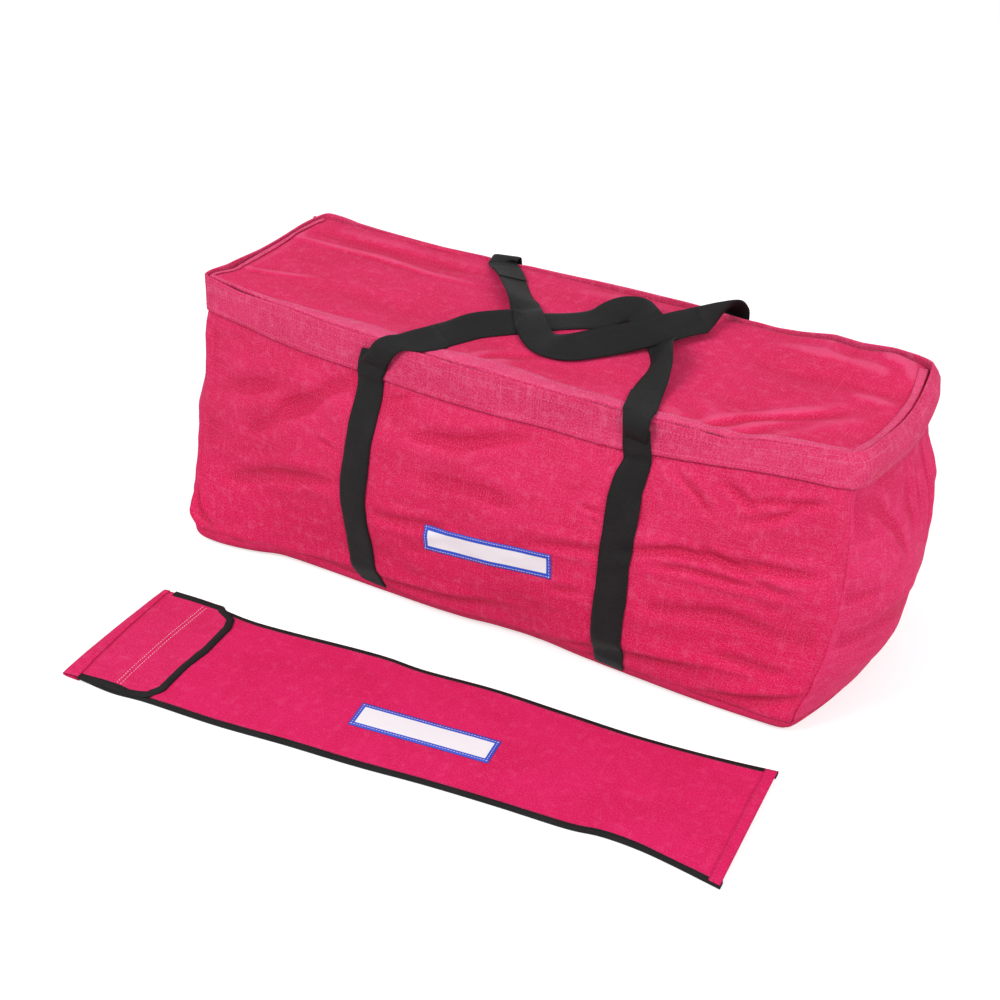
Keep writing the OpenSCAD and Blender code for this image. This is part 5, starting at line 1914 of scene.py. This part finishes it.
    def flap_tapes(self) -> None:
        """Binding tape round the flap's two sides and free edge, and the hook strip under it."""
        form = self.form
        near, rear = form.edges(np.array([self.flap_root]))
        y = np.linspace(near[0] + 0.0004, rear[0] - 0.0004, 90)
        line = [np.stack([np.linspace(form.fold_x, self.free_x(y[:1])[0], 22)[:-1], np.full(21, y[0])], -1),
                stacked(self.free_x(y), y),
                np.stack([np.linspace(self.free_x(y[-1:])[0], form.fold_x, 22)[1:], np.full(21, y[-1])], -1)]
        path = spline(np.c_[np.concatenate(line), np.zeros(132)][::3], 0.003)[:, :2]
        run = unit(np.gradient(path, axis=0))
        inward = np.stack([-run[:, 1], run[:, 0]], -1)
        at = path + inward*0.004
        high = self.flap_z(at[:, 0], at[:, 1])
        piece = self.tape("flap_edge_tape", path[:, 0], path[:, 1], high, high - self.cloth_t, inward)
        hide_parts("flap_binding")
        riding(piece, "pouch_flap", Slot.BINDING)
        u, v = np.meshgrid(np.linspace(-0.0125, 0.0125, 8), np.linspace(-0.068, 0.068, 40))
        x = np.full(u.shape, -0.350) + u
        hook = self.form.world(x, v, self.flap_z(x, v) - self.cloth_t - 0.0001)
        piece = sheet_object("flap_hook_tape", hook, stacked(u, v), [HOOK_TAPE], 0.0010)
        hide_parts("flap_hook_strip")
        riding(piece, "pouch_flap", Slot.HOOK)
        loop = self.form.world(x, v, self.form.top(x, v) + 0.0018)
        piece = sheet_object("pouch_loop_tape", loop, stacked(u, v), [HOOK_TAPE], 0.0009)
        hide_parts("pouch_loop_strip")
        riding(piece, "pouch", Slot.HOOK)

    def build(self) -> None:
        """Makes every piece of the pouch."""
        self.panels()
        self.bindings()
        self.label()
        self.flap()


KEPT_FINISHES = (
    (ZIP_TAPE, ("body_zip_tape", "lid_zip_tape")),
    (ZIP_COIL, ("body_zip_coil", "lid_zip_coil")),
    (ENAMEL, ("zip_end_stops", "front_slider", "left_slider", "front_pull_tab", "left_pull_tab")))


def dress_kept_nodes() -> None:
    """Gives the frame's own zip parts their finishes."""
    for finish, nodes in KEPT_FINISHES:
        for node in nodes:
            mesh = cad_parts[node].data
            mesh.materials.clear()
            mesh.materials.append(finish.material())


# ----- studio -----

@dataclass(frozen=True)
class Studio:
    """Floor, lights and camera."""
    eye: Point = (0.9214, -1.6702, 1.3128)
    look_at: Point = (-0.036, -0.040, 0.094)
    lens: float = 62.336
    sensor: float = 36.0
    floor_half: float = 8.0
    floor_drop: float = 0.0006
    floor_shade: float = 0.62
    floor_glow: float = 0.60
    sky: float = 0.46
    sky_seen: float = 0.54

    def aimed(self, name: str, data: bpy.types.ID, place: Point, target: Point) -> Piece:
        """A lamp or camera at a place, turned towards a target."""
        made = placed(name, data)
        made.location = place
        direction = Vector(target) - Vector(place)
        made.rotation_euler = direction.to_track_quat("-Z", "Y").to_euler()
        return made

    def camera(self) -> None:
        """The camera, at its place."""
        data = bpy.data.cameras.new("camera")
        data.lens, data.sensor_width = self.lens, self.sensor
        data.clip_end = 50
        bpy.context.scene.camera = self.aimed("camera", data, self.eye, self.look_at)

    def seen(self, shader: Shader) -> Socket:
        """1 on rays by which the camera sees the background, directly or in gloss or glass."""
        path = shader.add("ShaderNodeLightPath")
        total = shader.math("ADD", path.outputs["Is Camera Ray"], path.outputs["Is Glossy Ray"])
        return shader.math("MINIMUM", shader.math("ADD", total, path.outputs["Is Transmission Ray"]), 1.0)

    def floor(self) -> None:
        """A plain pale floor that keeps a faint shadow."""
        h = self.floor_half
        finish = bpy.data.materials.new("studio_floor")
        shader = blank_nodes(finish)
        shade = self.floor_shade
        matte = shader.add("ShaderNodeBsdfDiffuse", {0: (shade, shade, shade, 1)})
        level = shader.math("MULTIPLY", self.seen(shader), self.floor_glow)
        glow = shader.add("ShaderNodeEmission", {0: (1, 1, 1, 1), 1: level})
        both = shader.add("ShaderNodeAddShader", {0: matte.outputs[0], 1: glow.outputs[0]})
        shader.add("ShaderNodeOutputMaterial", {0: both.outputs[0]})
        verts = np.array([[-h, -h, 0], [h, -h, 0], [h, h, 0], [-h, h, 0]]) - [0, 0, self.floor_drop]
        floor = make_object("studio_floor", verts, [[0, 1, 2, 3]], None, [finish])
        floor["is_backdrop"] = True

    def lights(self) -> None:
        """One broad lamp from the upper left, a weaker one from the right, and an even sky."""
        for name, place, size, power in (("key", (-1.2, -2.2, 2.6), 1.4, 60.0),
                                         ("fill", (2.6, -0.8, 1.7), 2.0, 42.0),
                                         ("top", (0.2, 1.2, 2.8), 2.2, 9.0)):
            data = bpy.data.lights.new(name, "AREA")
            data.size, data.energy = size, power
            self.aimed(name, data, place, (0, 0, 0.15))
        world = bpy.data.worlds.new("studio")
        shader = blank_nodes(world)
        level = shader.math("ADD", shader.math("MULTIPLY", self.seen(shader), self.sky_seen), self.sky)
        sky = shader.add("ShaderNodeBackground", {0: (1, 1, 1, 1), 1: level})
        shader.add("ShaderNodeOutputWorld", {0: sky.outputs[0]})
        bpy.context.scene.world = world

    def build(self) -> None:
        """Sets up the whole studio."""
        bpy.context.scene.view_settings.view_transform = "Standard"
        self.camera()
        self.floor()
        self.lights()


def main() -> None:
    """Builds the bag and the pouch and reports their pieces."""
    logging.basicConfig(level=logging.INFO, format="%(message)s")
    Studio().build()
    form = BagForm()
    skin = Skin(form)
    BagBody(form, skin).build()
    GirthStrap("left_girth_webbing", "left_girth_strap", LEFT_FRONT, LEFT_REAR, form, skin).build()
    GirthStrap("right_girth_webbing", "right_girth_strap", RIGHT_FRONT, RIGHT_REAR, form, skin, seed=2,
               pinch=0.18).build()
    WallLabel(form, skin).build()
    SeamTapes(form, skin).build()
    lid = LidTop(form)
    lid.build()
    front = Handle("front_handle_webbing", "front_handle", "front_carry_handle", FRONT_ROUTE, lid)
    front.build()
    front.splice("front_handle_doubling", "front_handle_splice", 0.098, 0.038)
    front.bent(front.turn("left_front_turn", LEFT_FRONT_TURN),
               front.body)
    front.bent(front.turn("right_front_turn", RIGHT_FRONT_TURN, False, 0.047, 0.0019),
               front.body)
    rear = Handle("rear_handle_webbing", "rear_handle", "rear_carry_handle", REAR_ROUTE, lid, seed=2)
    rear.build()
    rear.splice("rear_handle_doubling", "rear_handle_splice", 0.020)
    turns = joined("rear_webbing_turns", [rear.turn("left_rear_turn", LEFT_REAR_TURN),
                                          rear.turn("right_rear_turn", RIGHT_REAR_TURN, False)])
    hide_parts("rear_strap_turns")
    rear.bent(turns, "lid")
    Pouch().build()
    dress_kept_nodes()
    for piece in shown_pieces():
        log.info("piece %s", piece.name)


if __name__ == "__main__":
    main()
